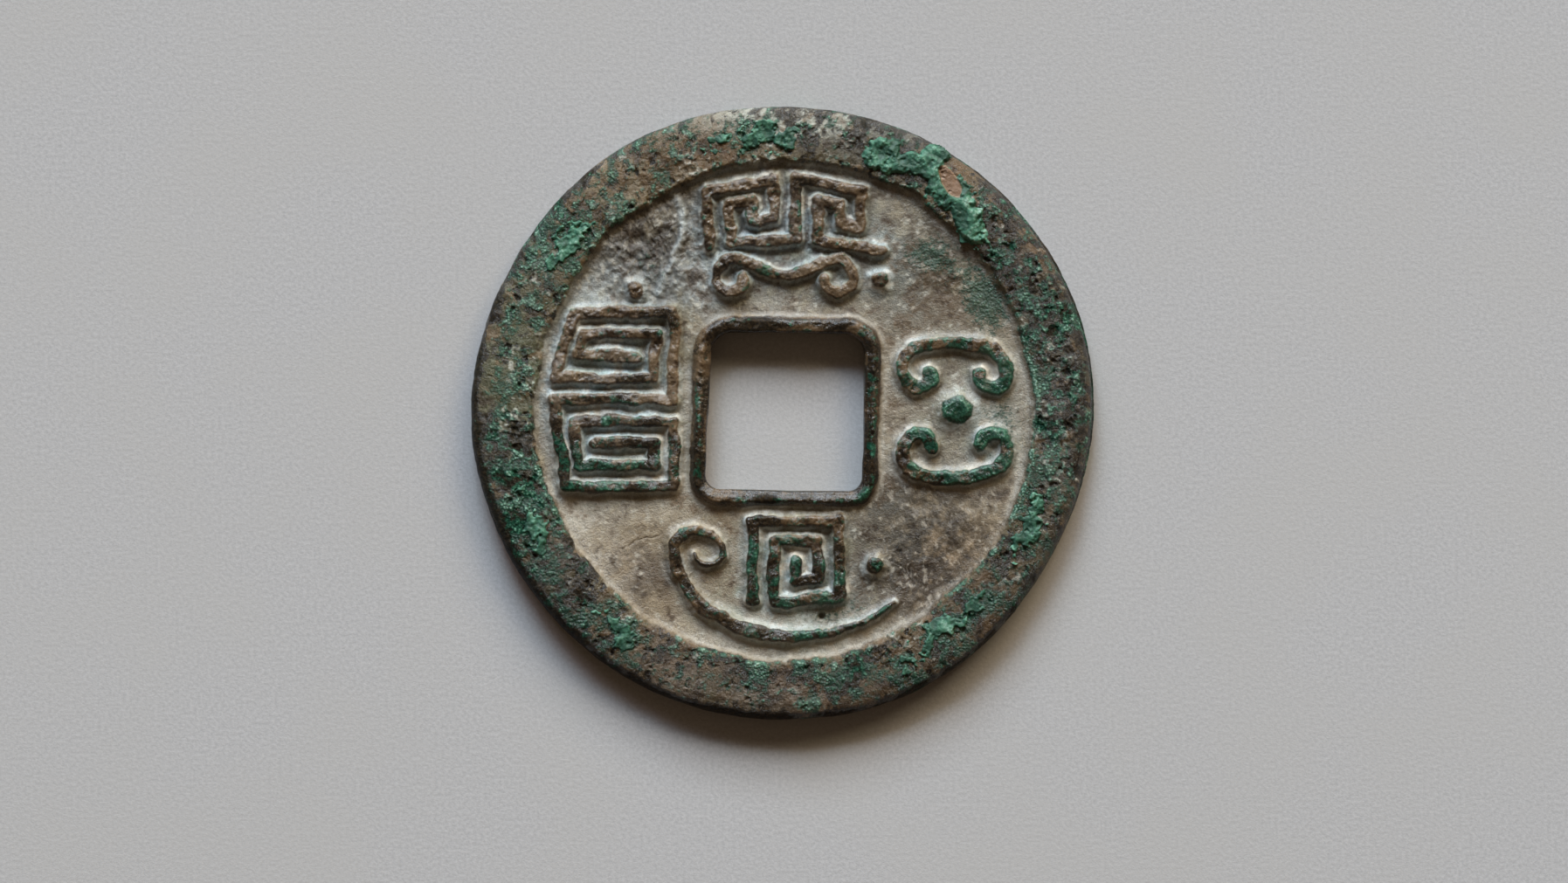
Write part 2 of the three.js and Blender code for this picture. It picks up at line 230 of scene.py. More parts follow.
# Name: line, width, and True if its ends taper
STROKES = {
    "top_fret": (cornered([*shifted(KEY, -3.5), *shifted(KEY, 0.5), (4.5, 3)], TOP), STROKE),
    "top_cloud": (curved([*TOP_CURL, (0, 1.2), *mirrored(TOP_CURL)], TOP), STROKE),
    "left_fret": (cornered(shifted([*HALF_FRET, *half_turned(HALF_FRET)], 0.5), LEFT), STROKE),
    "right_upper_scroll": (curved(SCROLL, RIGHT), BOLD),
    "right_lower_scroll": (curved(mirrored(SCROLL), RIGHT), BOLD),
    "bottom_fret": (cornered(shifted(SPIRAL, 1.5), BOTTOM), STROKE),
    "bottom_cloud": (curved([*BOTTOM_CURL, *TAIL], BOTTOM), BOLD, True),
}
PEARLS = {
    "top_pearl": ((4.4, 1.2), TOP, SMALL_PEARL),
    "left_pearl": ((5.5, 2.6), LEFT, SMALL_PEARL),
    "right_pearl": ((0, 3), RIGHT, LARGE_PEARL),
    "bottom_pearl": ((-4.1, 2.6), BOTTOM, SMALL_PEARL),
}


def near(x0, x1, y0, y1):
    """The part of the maps between these sides."""
    i0, i1 = np.searchsorted(AXIS, [x0, x1])
    j0, j1 = np.searchsorted(AXIS, [y0, y1])
    return slice(j0, j1), slice(i0, i1)


# The strokes waver by so much
WAVER, FINE_WAVER = 0.042, 0.02
WARP_X = X + WAVER * noise(11, 0.35) + FINE_WAVER * noise(12, 0.09)
WARP_Y = Y + WAVER * noise(13, 0.35) + FINE_WAVER * noise(14, 0.09)
# Distances are worked out up to a reach, and are far beyond it
FAR, LINE_REACH, HOLE_REACH = 3.0, 1.2, 7.5


def from_span(x, y, start, end):
    """How far points lie from a straight span, and what share of it their nearest point has passed."""
    run = end - start
    across, up = x - start[0], y - start[1]
    t = np.clip((across * run[0] + up * run[1]) / (run @ run), 0, 1)
    return np.hypot(across - t * run[0], up - t * run[1]), t


def line_edge(line, width, tapers=False):
    """How far each cell lies outside a stroke's edge. Negative is inside."""
    step = np.hypot(*np.diff(line, axis=0).T)
    share = np.concatenate([[0], np.cumsum(step)]) / step.sum()
    widths = np.full(len(line), width)
    if tapers:
        widths = width * (TIP_SHARE + (1 - TIP_SHARE) * np.sin(np.pi * share))
    edge = np.full(X.shape, FAR)
    for a, b, width_a, width_b in zip(line[:-1], line[1:], widths[:-1], widths[1:]):
        low, high = np.minimum(a, b) - LINE_REACH, np.maximum(a, b) + LINE_REACH
        part = near(low[0], high[0], low[1], high[1])
        away, t = from_span(WARP_X[part], WARP_Y[part], a, b)
        edge[part] = np.minimum(edge[part], away - mix(width_a, width_b, t) / 2)
    return edge


EDGES = {name: line_edge(*drawn) for name, drawn in STROKES.items()}
for name, (at, degrees, diameter) in PEARLS.items():
    pearl_x, pearl_y = turned([place_point(at)], degrees)[0]
    EDGES[name] = np.hypot(WARP_X - pearl_x, WARP_Y - pearl_y) - diameter / 2

# The hole


def unit(vector):
    return vector / np.hypot(*vector)


def hole_outline(arc_steps=16, side_steps=170):
    """Points round the hole's outline, and the direction straight away from it at each."""
    corners = [np.array([x * HOLE_HALF + dx, y * HOLE_HALF + dy]) for x, y, dx, dy, _ in HOLE_CORNERS]
    arcs = []
    for i, corner in enumerate(corners):
        to_last, to_next = unit(corners[i - 1] - corner), unit(corners[(i + 1) % 4] - corner)
        half = math.acos(to_last @ to_next) / 2
        inwards = unit(to_last + to_next)
        radius = HOLE_CORNERS[i][4]
        centre = corner + inwards * radius / math.sin(half)
        reach = math.pi / 2 - half
        start = math.atan2(-inwards[1], -inwards[0]) - reach
        angles = start + 2 * reach * np.arange(arc_steps + 1) / arc_steps
        directions = np.stack([np.cos(angles), np.sin(angles)], 1)
        arcs.append((centre + radius * directions, directions))
    at, away = [], []
    share = np.arange(1, side_steps)[:, None] / side_steps
    for i, (arc, directions) in enumerate(arcs):
        next_start = arcs[(i + 1) % 4][0][0]
        at += [arc, arc[-1] + (next_start - arc[-1]) * share]
        away += [directions, np.repeat(directions[-1:], side_steps - 1, axis=0)]
    return np.concatenate(at), np.concatenate(away)


HOLE_AT, HOLE_AWAY = hole_outline()


def off_hole(distance):
    """The x and y of points so far out from the hole's outline."""
    return (HOLE_AT + HOLE_AWAY * distance).T


def hole_distance():
    """How far each cell lies outside the hole's outline, up to a few millimetres."""
    distance = np.full(X.shape, FAR)
    part = near(-HOLE_REACH, HOLE_REACH, -HOLE_REACH, HOLE_REACH)
    x, y = X[part], Y[part]
    best = np.full(x.shape, np.inf)
    inside = np.ones(x.shape, bool)
    outline = hole_outline(arc_steps=10, side_steps=3)[0]
    for a, b in zip(outline, np.roll(outline, -1, axis=0)):
        best = np.minimum(best, from_span(x, y, a, b)[0])
        inside &= (b[0] - a[0]) * (y - a[1]) - (b[1] - a[1]) * (x - a[0]) > 0
    distance[part] = np.where(inside, -best, best)
    return distance


# Heights of the obverse
RHO = nominal_radius(X, Y)
FROM_HOLE = hole_distance()
PATCH_FALL = 0.7


def ellipse(x, y, half_x, half_y, degrees=0):
    """How far out each cell lies in a turned ellipse: 1 is on its edge."""
    cos, sin = math.cos(math.radians(degrees)), math.sin(math.radians(degrees))
    across, up = (X - x) * cos + (Y - y) * sin, (Y - y) * cos - (X - x) * sin
    return np.hypot(across / half_x, up / half_y)


def patch(*place):
    """A soft patch, from its centre, half sizes, and turn if any."""
    return np.exp(-PATCH_FALL * ellipse(*place) ** 2)


def patches(places):
    """Soft patches added up. Each is its amount and its place."""
    return sum(amount * patch(*place) for amount, *place in places)


worn = noise(21, 0.45)
lumpy = 0.75 * noise(22, 0.2) + 0.25 * noise(23, 0.09)
# A stroke has a nearly level crown, steep flanks and a long concave foot, and is half high at its edge
FOOT, CROWN, FLANK, PEARL_CROWN = 0.16, 0.15, 0.17, 0.3
# The middle of a wide one is domed, from so far inside its edge
DOME, DOME_START, DOME_RUN = 0.12, 0.12, 0.3
relief = np.zeros_like(X)
for name, edge in EDGES.items():
    crown = CROWN if name in STROKES else PEARL_CROWN * PEARLS[name][2]
    past = np.clip(edge + crown, 0, None) / (crown + FLANK - CROWN)
    domed = 1 + DOME * np.clip(-edge - DOME_START, 0, DOME_RUN)
    relief = np.maximum(relief, np.exp(-math.log(2) * past**2) * domed)
stroke_share = np.clip(relief, 0, 1)
# Wear has taken a share of the strokes' height, and left their surface lumpy
relief = relief * (STROKE_HEIGHT * np.clip(0.92 + 0.07 * worn, 0.7, 1) + 0.03 * lumpy)

# The rims' worn shoulders start sooner than the cast ones and run on for longer
RIM_SOONER, RIM_LONGER, INNER_SOONER, INNER_LONGER = 0.08, 0.14, 0.05, 0.22
# The inner rim slopes to the hole, and less so above it
SLOPE, UPPER_SLOPE, SLOPE_START, SLOPE_RUN = 0.4, 0.13, 0.44, 0.38
# The outer rim's land is crowned, and dips before its edge
LAND_EDGE = COIN_RADIUS - EDGE_RADIUS
LAND_CROWN, LAND_REACH, EDGE_DIP, EDGE_DIP_RUN = 0.06, 1.15, 0.06, 0.3
RIM_HEIGHT = RIM_TOP - FIELD_TOP
rim_wander = 0.06 * noise(24, 0.5) + 0.025 * noise(25, 0.12)
rim_share = ease((RHO + rim_wander - OBVERSE_FOOT + RIM_SOONER) / (SHOULDER_RUN + RIM_LONGER))
inner_share = INNER_RIM + INNER_SOONER - FROM_HOLE - 0.6 * rim_wander
inner_share = ease(inner_share / (INNER_SHOULDER + INNER_LONGER))
hole_slope = mix(SLOPE, UPPER_SLOPE, smooth((Y - 3.3) / 0.4))
inner_share = inner_share * (1 - hole_slope * smooth((SLOPE_START - FROM_HOLE) / SLOPE_RUN))
rim_rise = RIM_HEIGHT * rim_share * (1 - LAND_CROWN * ((RHO - LAND_MIDDLE) / LAND_REACH) ** 2)
rim_rise -= EDGE_DIP * smooth((RHO - LAND_EDGE + EDGE_DIP_RUN) / EDGE_DIP_RUN)
inner_rise = (RIM_HEIGHT - INNER_DROP) * inner_share * (0.92 + 0.04 * worn) + 0.02 * lumpy * inner_share
# A seam left by the mould runs down the upper left of the field
SEAM = np.array([
    (-5.2, 10.3), (-4.95, 9.6), (-4.8, 8.8), (-4.85, 8.0), (-5.15, 7.1), (-5.55, 6.2), (-5.8, 5.5),
])
SEAM_HEIGHT, SEAM_WIDTH, SEAM_REACH, SEAM_FADE = 0.15, 0.16, 0.26, 0.34
seam = SEAM_HEIGHT * smooth((SEAM_REACH - line_edge(SEAM, SEAM_WIDTH)) / SEAM_FADE)
seam = seam * np.clip(0.8 + 0.2 * noise(26, 0.4), 0.4, 1.2)
raised = blurred(np.maximum.reduce([relief, seam, rim_rise, inner_rise]), 0.035)

# How rough the surface is, as shares of a common roughness: amount, centre, half sizes, and turn if any
FIELD_ROUGH = (
    (3.1, -6.5, 8, 3, 2.6), (1.3, 8.2, 5.8, 1.1, 3.4, 27), (0.8, 7, -6.5, 3.2, 2.8), (0.6, -1, 8, 4, 3.6),
    (0.6, -9, 3.6, 2.5, 3),
)
RIM_ROUGH = (
    (0.8, 12.6, 2, 1.8, 5.5), (0.8, -10.2, 8.2, 2.4, 3.4, -40), (0.5, 0, 12.9, 5, 1.5),
    (0.4, -12, -6, 2, 3.6, 15), (-0.45, 0, -13, 6, 1.6), (-0.35, 9.4, -9.4, 1.8, 4.5, -45),
    (-0.4, -9.4, -9.4, 1.8, 4.5, 45),
)
grain = cloudy(31, 0.2, 3, 0.8)
coarse_grain = cloudy(35, 0.5, 3, 0.7)
on_rim = smooth((rim_share - 0.35) / 0.5)
swell = cloudy(39, 1.0, 2)
field_roughness = np.clip(0.5 + patches(FIELD_ROUGH) + 0.2 * swell, 0.2, 3.0)
rim_roughness = np.clip(0.75 + patches(RIM_ROUGH) + 0.3 * swell, 0.25, 2.2)
field_relief = 0.02 * cloudy(41, 1.2, 3) + (0.011 * grain + 0.016 * coarse_grain) * field_roughness
pits = np.clip(cloudy(46, 0.13, 3) - 1.2, 0, 1.3)
crystal_cloud = cloudy(51, 0.12, 2, 0.7)
crystals = np.clip(crystal_cloud - 0.7, 0, 1.3)
rim_relief = (0.025 * cloudy(56, 0.26, 3, 0.8) + 0.03 * cloudy(61, 0.5, 2) + 0.04 * crystals) * rim_roughness
HEIGHT = FIELD_TOP + raised + field_relief * (1 - 0.6 * rim_share)
HEIGHT += (rim_relief - 0.06 - 0.08 * pits) * rim_share
high = np.maximum(stroke_share, inner_share)
HEIGHT += (0.007 * grain - 0.01 - 0.03 * pits) * high
# Dirt has partly filled the hollows
hollow = np.clip(blurred(HEIGHT, 0.3) - HEIGHT, 0, 1)
HEIGHT += 0.2 * hollow
# A worn step just inside the edge, on the right
STEP_RADIUS, STEP_WIDTH, STEP_DEPTH = 13.97, 0.075, 0.07
edge_step = np.clip(patches(((1, 11, 8.5, 4.5, 7, -52), (0.7, 13.8, -1, 1.5, 6))), 0, 1)
HEIGHT -= STEP_DEPTH * np.exp(-(((RHO - STEP_RADIUS) / STEP_WIDTH) ** 2)) * edge_step
SCRATCH_WIDTH, SCRATCH_DEPTH = 0.02, 0.03
SCRATCHES = (
    ((6.2, 7.0), (6.9, 7.15), (7.7, 7.2)),
    ((6.3, 6.75), (7.1, 6.85), (7.6, 6.8)),
    ((4.5, -6.9), (5.2, -7.2), (6.0, -7.55)),
    ((-10.2, -9.0), (-9.6, -9.5)),
    ((-7.6, -6.4), (-6.6, -6.0), (-5.9, -5.9)),
    ((-6.6, 9.3), (-6.0, 8.4), (-5.5, 7.4)),
)
for line in SCRATCHES:
    HEIGHT -= SCRATCH_DEPTH * smooth((0.05 - line_edge(np.array(line), SCRATCH_WIDTH)) / 0.06)
PINHOLE_X, PINHOLE_Y, PINHOLE_RADIUS, PINHOLE_DEPTH = 1.72, -9.63, 0.2, 0.3
HEIGHT -= PINHOLE_DEPTH * smooth((PINHOLE_RADIUS - np.hypot(X - PINHOLE_X, Y - PINHOLE_Y)) / 0.1)
HEIGHT = np.minimum(HEIGHT, RIM_TOP)
# Where the surface stands out from its surroundings
PEAK = np.clip((HEIGHT - blurred(HEIGHT, 0.11)) / 0.02, -1.5, 1.5)

# Crust


def crust_share(angle, inwards, length, width, seed):
    """1 in a lump's middle and 0 from its edge out, on its ragged outline."""
    middle = LAND_MIDDLE - inwards * LAND_WIDTH
    across = (RHO - middle) / (width * LAND_WIDTH / 2)
    bearing = (THETA - math.radians(angle) + math.pi) % (2 * math.pi) - math.pi
    along = bearing * middle / (length * LAND_WIDTH / 2)
    turn = np.arctan2(along, across)
    ragged = 1 + 0.12 * (np.cos(3 * turn + seed) + np.sin(5 * turn + 2 * seed) / 2)
    return 1 - np.hypot(across, along) / ragged


# The large crust is a knob, a band and a wedge that run together, with a flake gone from it
LARGE_CRUST = (
    (4.57, 11.96, 0.95, 0.85), (6.3, 11.45, 1.35, 0.6, -12), (6.95, 11.9, 0.75, 0.5),
    (7.7, 10.3, 1.15, 0.95, -50), (8.5, 9.1, 1.85, 0.68, -62),
)
CHIP, CHIP_LEFT = (7.75, 10.72, 0.85, 0.42, -60), 0.05
crust_wander = cloudy(66, 0.22, 3)
crust_lumps = cloudy(71, 0.26, 3, 0.75)
chip = smooth((1.05 - ellipse(*CHIP) + 0.06 * noise(76, 0.12)) / 0.16)
share = np.max([1 - ellipse(*place) for place in LARGE_CRUST], axis=0)
share = share + np.where(share > -0.8, 0.12 * crust_wander, 0)
rise = CRUST_HEIGHT * smooth(share / 0.28) * np.clip(0.76 + 0.1 * crust_lumps, 0.3, 1)
CRUST_EDGE, CRUST_RISE = [-share], [mix(rise, CHIP_LEFT, chip)]
for height, *outline in CRUSTS:
    share = crust_share(*outline)
    share = share - 0.12 + np.where(share > -0.6, 0.42 * crust_wander, 0)
    rise = CRUST_HEIGHT * height * smooth(share / 0.35) * np.clip(0.72 + 0.2 * crust_lumps, 0.3, 1)
    CRUST_EDGE.append(-share)
    CRUST_RISE.append(rise)

# Patina


def srgb(r, g, b):
    c = np.array([r, g, b]) / 255
    return np.where(c <= 0.04045, c / 12.92, ((c + 0.055) / 1.055) ** 2.4)


TAN, LIGHT_TAN, STONE = srgb(144, 127, 101), srgb(174, 159, 133), srgb(134, 128, 117)
BROWN, DARK_BROWN, GREY_BROWN = srgb(101, 80, 55), srgb(52, 39, 27), srgb(83, 71, 55)
GREY_GREEN, OLIVE, SLATE = srgb(104, 107, 99), srgb(74, 83, 62), srgb(54, 57, 54)
CREAM, PALE_GREY, BLUISH = srgb(206, 200, 185), srgb(183, 187, 183), srgb(180, 190, 184)
DEEP_GREEN, MALACHITE, PALE_GREEN = srgb(20, 70, 52), srgb(64, 121, 96), srgb(160, 192, 176)
DARKEST, DARK_EARTH, DARKEST_GREEN = srgb(15, 16, 15), srgb(53, 44, 32), srgb(12, 52, 42)
CHIP_BROWN = srgb(132, 106, 84)

# Colour, amount, centre, half sizes, and turn if any
FIELD_TONES = (
    (TAN, 0.8, -7.5, -6.5, 3.2, 3), (BROWN, 0.7, -7, -7.5, 1.9, 1.2, 25),
    (GREY_BROWN, 0.5, -6.2, -8.2, 1, 0.7, 10), (GREY_BROWN, 1, 6.8, -6.8, 4.4, 3.8),
    (GREY_GREEN, 0.5, 5.4, -5.4, 2.2, 1.4), (DARK_BROWN, 0.4, 7.2, -7.8, 2.2, 1.6, 30),
    (TAN, 0.4, 9.4, -3.8, 1.2, 1.2), (STONE, 0.75, 0, 7.9, 4.6, 3.4), (STONE, 0.6, -8, 1.6, 3.2, 3.4),
    (GREY_GREEN, 0.85, 6, 7.5, 2.6, 2.6), (BROWN, 0.85, 7.6, 5.9, 0.9, 3.2, 27),
    (TAN, 0.4, 10, 3.6, 1.2, 2.4), (GREY_GREEN, 0.7, -6.5, 8, 3.4, 3),
    (BROWN, 0.9, -6.8, 8.7, 1.9, 1.5, -40), (DARK_BROWN, 0.6, -6.6, 6.9, 1.3, 0.7, -30),
    (PALE_GREY, 0.7, -9, 5.9, 1.5, 0.9, 30), (STONE, 0.6, 8.4, 0, 3.2, 3.2),
    (LIGHT_TAN, 0.5, 8.4, 0, 2.4, 2.6), (PALE_GREY, 0.25, 8.4, 0, 2.6, 2.8),
    (PALE_GREY, 0.8, -8, -0.6, 2.4, 4), (PALE_GREY, 0.65, 0, 8.2, 3.4, 2.6),
    (PALE_GREY, 0.25, 0.6, -8, 3.2, 2.6), (LIGHT_TAN, 0.2, -6.8, -5.4, 2.6, 1.2),
    (PALE_GREY, 0.75, -11, 3, 0.9, 4), (PALE_GREY, 0.5, -3.9, 8.6, 0.7, 2.8),
    (PALE_GREY, 0.6, -5.4, 5.6, 1.6, 1, -30), (BLUISH, 0.7, 9.9, -1.9, 0.8, 1.5),
    # The cream by the bottom and lower left of the rim's shoulder, and the light tan by its lower right, are
    # pale dust that is partly painted light, where the shoulder there faces the light
    (CREAM, 0.7, 0, -10.6, 4.5, 1), (CREAM, 0.6, -9.2, -6.6, 0.8, 3.6, 35),
    (LIGHT_TAN, 0.45, 9.4, -5.8, 0.7, 3.2, -30),
)
RIM_TONES = (
    (OLIVE, 0.85, -12.9, 1, 1.6, 4.5), (OLIVE, 0.6, -10.5, 8.3, 2.6, 2.6), (SLATE, 0.6, -12, -6, 2, 3.5),
    (BROWN, 0.7, -6, -11.5, 3, 1.6, -25), (BROWN, 0.85, 1.5, -13, 5, 1.6),
    (BROWN, 0.6, 8.5, -10, 2.5, 2, 40), (SLATE, 0.75, 12.8, 0.5, 1.8, 5),
    (DARK_BROWN, 0.6, 10.8, 7.4, 1.5, 3, 35), (SLATE, 0.7, 4.5, 12.6, 3, 1.4, -20),
    (BROWN, 1, -4.5, 12.4, 3.6, 1.6, 20), (BROWN, 0.75, -9, 10, 3, 2.6, 40),
    (OLIVE, 0.4, -7.6, 10.4, 2.4, 1.4, 42), (STONE, 0.4, -3, -12.9, 3.6, 1.2, -8),
    # The bluish patch at 0.4, 13.7, by the top of the edge, is a painted highlight where the rounded edge
    # faces the light
    (BLUISH, 0.75, 0.4, 13.7, 4.2, 0.7), (BROWN, 0.7, 9.6, 10.2, 0.6, 5, 43),
    (LIGHT_TAN, 0.4, -8.2, 10.6, 2.2, 0.8, -38),
)
# How much darker the field and the rim are in places
FIELD_SHADE = (
    (0.44, 6.8, -6.8, 3.6, 3.4), (0.46, -6.6, 8.1, 3, 2.4), (0.22, 7.2, 6.6, 2.6, 3, 20),
    (0.16, 8.6, 0.4, 2.6, 3.4), (0.2, -6.9, -7.5, 1.7, 1.1, 25),
)
RIM_SHADE = (
    (0.34, 0, -13, 5.5, 1.4), (0.12, -9, 10, 3, 1.8, 45), (0.2, 9.4, -9.4, 1.6, 4.5, -45),
    (0.16, -9.4, -9.4, 1.6, 4.5, 45), (-0.1, -12.9, 0.5, 1.4, 4),
)
# How much darker the field is once more, over its dust. Below zero it is lighter
LAST_SHADE = (
    (0.25, -6.8, 7.6, 3.6, 3.3), (0.18, -5.5, 5.3, 0.9, 0.9), (-0.1, -8.9, 5.7, 0.9, 0.9),
    (0.03, 6.6, -6.6, 2.6, 2.6), (0.2, 5.4, -5.2, 1, 1), (0.12, -7.2, -7.4, 2.4, 2.2),
    (-0.1, 7, 7.1, 1.8, 1.8), (-0.22, -5.2, -0.2, 0.4, 3.2),
)
# Where the rim is duller
RIM_DULL = (
    (1, 9.4, -9.4, 1.6, 4.5, -45), (0.9, -9.4, -9.4, 1.6, 4.5, 45), (0.6, 0, -13, 5.5, 1.6),
    (-0.3, -12.9, 0.5, 1.4, 4), (-0.3, 12.9, 0, 1.4, 4),
)
# How much cooler the dust is in places, and what cooling does to its red, green and blue
FIELD_COOL = (
    (0.9, 0, 8, 4.8, 3.2), (1.05, -8.2, 0.6, 3, 4.2), (1.05, 0.5, -8, 4.2, 3), (0.6, 8.6, 0.4, 3, 3.4),
    (0.3, 6.8, 6.8, 2.4, 2.4), (-0.45, 6.8, -7.2, 2.6, 2.6), (-0.22, -7, -7, 2.4, 2.4),
)
COOLING = np.array([-0.13, 0.035, 0.16])
# Where the hollows between the strokes are darker
DARK_HOLLOWS = (
    (1.1, 0, 8.2, 3.6, 2.6), (0.65, -8, 2.2, 2.6, 2.8), (0.3, -8, -2.6, 2.6, 1.6),
)
# Where malachite lies on what is raised, and then on the field
GREEN_PLACES = (
    (0.24, -1.6, 12.9, 2.2, 0.9), (0.28, -7, 11.2, 3, 1.2, 40), (0.38, -10.6, 8, 1.5, 2.4, -35),
    (0.28, -13, 2, 1, 4), (0.26, 12, 6.4, 0.9, 2.4, 25), (0.12, 10.2, 6.6, 0.55, 4.4, 33),
    (0.22, 13, -3.6, 1, 3.2), (-0.08, 13, 1, 1, 2.4), (0.44, 9.2, -9.6, 3.4, 1.3, 43),
    (0.34, 3.6, -12.6, 2.4, 0.9, 12), (0.35, 1.3, -13, 0.3, 0.9), (0.16, -3.4, -12.9, 2, 0.8, -14),
    (0.44, -12.3, -6, 1.3, 3.6, 20), (0.5, -8.4, -10.4, 2.4, 1.1, -38), (0.5, -1.3, -12.3, 0.5, 0.5),
    (0.85, 8.6, 0, 3.2, 3.4), (0.5, 0.5, -8.2, 3.2, 2.6), (0.52, -8, -3.4, 2.6, 2.2),
    (0.2, 4.3, -0.6, 0.3, 1), (0.5, 4.1, -4.1, 0.6, 0.5), (0.3, -4.2, 0.6, 0.3, 1.5),
)
FIELD_GREEN = (
    (0.65, 6.8, 7.2, 1, 0.9), (0.85, 9.4, 5.2, 0.9, 1.6, 20), (0.4, -6.2, 6.6, 0.5, 1, 40),
    (0.3, -5.2, -1.8, 0.5, 3), (0.4, 10.4, -1, 0.9, 1.6), (0.4, 2.6, -9.5, 1.4, 1),
)
# Where the patina is dark on the field, and then on what is raised
FIELD_DARK = (
    (0.26, 7, -7.2, 2.8, 2.4), (0.15, 5.2, -5.6, 1.2, 0.9), (0.26, -6.8, 8, 2.4, 1.8),
    (0.18, -6.4, -7.6, 1.4, 0.9, 20), (0.16, 6.4, 7.8, 1.6, 1.4),
)
DARK_PLACES = (
    (0.5, 4.6, 13, 2.4, 0.9, -18), (-0.12, -6.4, 11.6, 3.4, 1.4, 38), (-0.12, -1.5, -13, 4.5, 1.2),
    # The thin dark band at 10.2, 6.6 on the rim's inner slope at the upper right is dark patina and partly
    # painted shade, where that slope turns away from the light
    (0.42, 8.6, 0, 3.2, 3.4), (0.4, 10.2, 6.6, 0.55, 4.4, 33), (0.4, 13.2, 1.5, 0.9, 4.5),
    (0.3, 11.2, 7.4, 1, 2.6, 35), (0.45, -12.8, -4, 1.1, 3.2, 10), (0.3, -10.6, -8.6, 1.5, 1.5),
    (0.6, 0.5, -8, 4.5, 3), (0.55, -8.2, -3.2, 2.8, 2.6), (-0.12, -0.4, 8, 3.8, 3.2),
    (-0.12, -8.2, 2.8, 2.8, 1.8), (0.3, -4.2, -1, 0.7, 3.6), (0.2, 0, -4.2, 3.6, 0.7),
    # The inner rim is darkened most above the hole, at 0, 4.3: dark patina and partly painted shade, where
    # its slope down to the hole turns away from the light
    (0.2, 4.2, 0, 0.7, 3.6), (0.75, 0, 4.3, 3.6, 0.45), (0.35, 3.4, -12.4, 1.8, 0.8, 12),
)
# Where pale grains lie on the rim
PALE_PLACES = (
    (0.6, 11, 7.4, 1.3, 2.8, 35), (1, 12.7, 0.6, 1.2, 4.4), (0.45, -0.6, 13.3, 4.4, 0.9),
    (0.5, -11.2, 7.2, 1, 2.2, -38), (0.3, -12.8, -0.5, 0.9, 3), (-0.25, -6.4, 11.6, 2.6, 1.2, 38),
    (-0.5, -1, -13, 5, 1.2),
)

blotch, mottle, speck = cloudy(81, 0.7, 4), cloudy(86, 0.22, 4, 0.8), cloudy(91, 0.09, 2, 0.8)
patchy = mottle + 0.6 * blotch


def paint(base, colour, share):
    return mix(base, colour, np.clip(share, 0, 1)[..., None])


def over(base, colour, most, cloud, start, fade):
    """Paints a colour where a cloud rises past its start, up to the most that it covers."""
    return paint(base, colour, most * smooth((cloud - start) / fade))


def dimmed(base, share):
    return base * (1 - share)[..., None]


def toned(base, places):
    made = np.broadcast_to(base, (*X.shape, 3))
    for colour, amount, *place in places:
        made = paint(made, colour, amount * patch(*place) * (1 + 0.25 * blotch))
    return made


tone = toned(mix(TAN, BROWN, 0.3), FIELD_TONES)
tone = over(tone, BROWN, 0.6, patchy, 0.35, 1.4)
tone = over(tone, DARK_BROWN, 0.6, mottle, 1.0, 1.2)
tone = over(tone, LIGHT_TAN, 0.5, -patchy, 0.4, 1.6)
tone = dimmed(tone, patches(FIELD_SHADE) * (1 + 0.2 * mottle))
creamy = smooth((hollow - 0.03) / 0.08) * np.clip(0.35 + 0.3 * mottle + 0.35 * blotch, 0, 1)
dark_hollow = np.clip(patches(DARK_HOLLOWS), 0, 1)
tone = paint(tone, CREAM, 0.7 * creamy * (1 - 0.9 * dark_hollow))
tone = over(tone, DARK_BROWN, 0.62 * dark_hollow, hollow + 0.012 * mottle, 0.05, 0.06)
tone = over(tone, CREAM, 0.5, speck, 1.2, 0.8)
tone = over(tone, PALE_GREY, 0.6, seam, 0, 0.12)

rim_tone = toned(mix(OLIVE, BROWN, 0.5), RIM_TONES)
rim_tone = over(rim_tone, BROWN, 0.6, cloudy(96, 0.3, 4, 0.8), 0.2, 1.3)
rim_tone = over(rim_tone, DARK_BROWN, 0.7, cloudy(121, 0.3, 3, 0.8), 0.6, 0.9)
rim_tone = rim_tone * np.array([1.04, 0.98, 0.92])
pale_grains = crystal_cloud + 0.3 * swell + patches(PALE_PLACES) - 0.8 * smooth((RHO - 13.5) / 0.4)
rim_tone = over(rim_tone, mix(CREAM, BLUISH, 0.5), 0.7, pale_grains, 1.1, 0.8)
rim_tone = dimmed(rim_tone, patches(RIM_SHADE))
tone = paint(tone, rim_tone, on_rim)

# Pale dust on the flanks of strokes and inner rim, but little of it beside the hole and at the left. Beside
# the hole, at the bottom, it is also a painted highlight
UPPER_SIDE = 3.9
near_hole = smooth((INNER_RIM + 0.25 - FROM_HOLE) / 0.1)
flank = smooth((high - 0.08) / 0.24) * (1 - smooth((high - 0.62) / 0.22))
flank = flank * np.clip(0.45 + 0.3 * blotch + 0.22 * mottle, 0, 0.85)
# On the hole's side of the inner rim the pale stays only at the bottom, as a painted highlight where that
# slope faces the light
flank = flank * (1 - (FROM_HOLE < INNER_RIM - 0.35) * smooth((Y + 3.4) / 0.3))
flank = flank * (1 - near_hole * np.where(Y > UPPER_SIDE, 0.55, 0.8))
flank = flank * (1 - 0.5 * patch(-8, -0.6, 3, 4.5))
flank_dust_and_highlight = paint(CREAM, PALE_GREY, smooth((worn + 1.3) / 1.7))
tone = paint(tone, flank_dust_and_highlight, flank * (1 - on_rim))
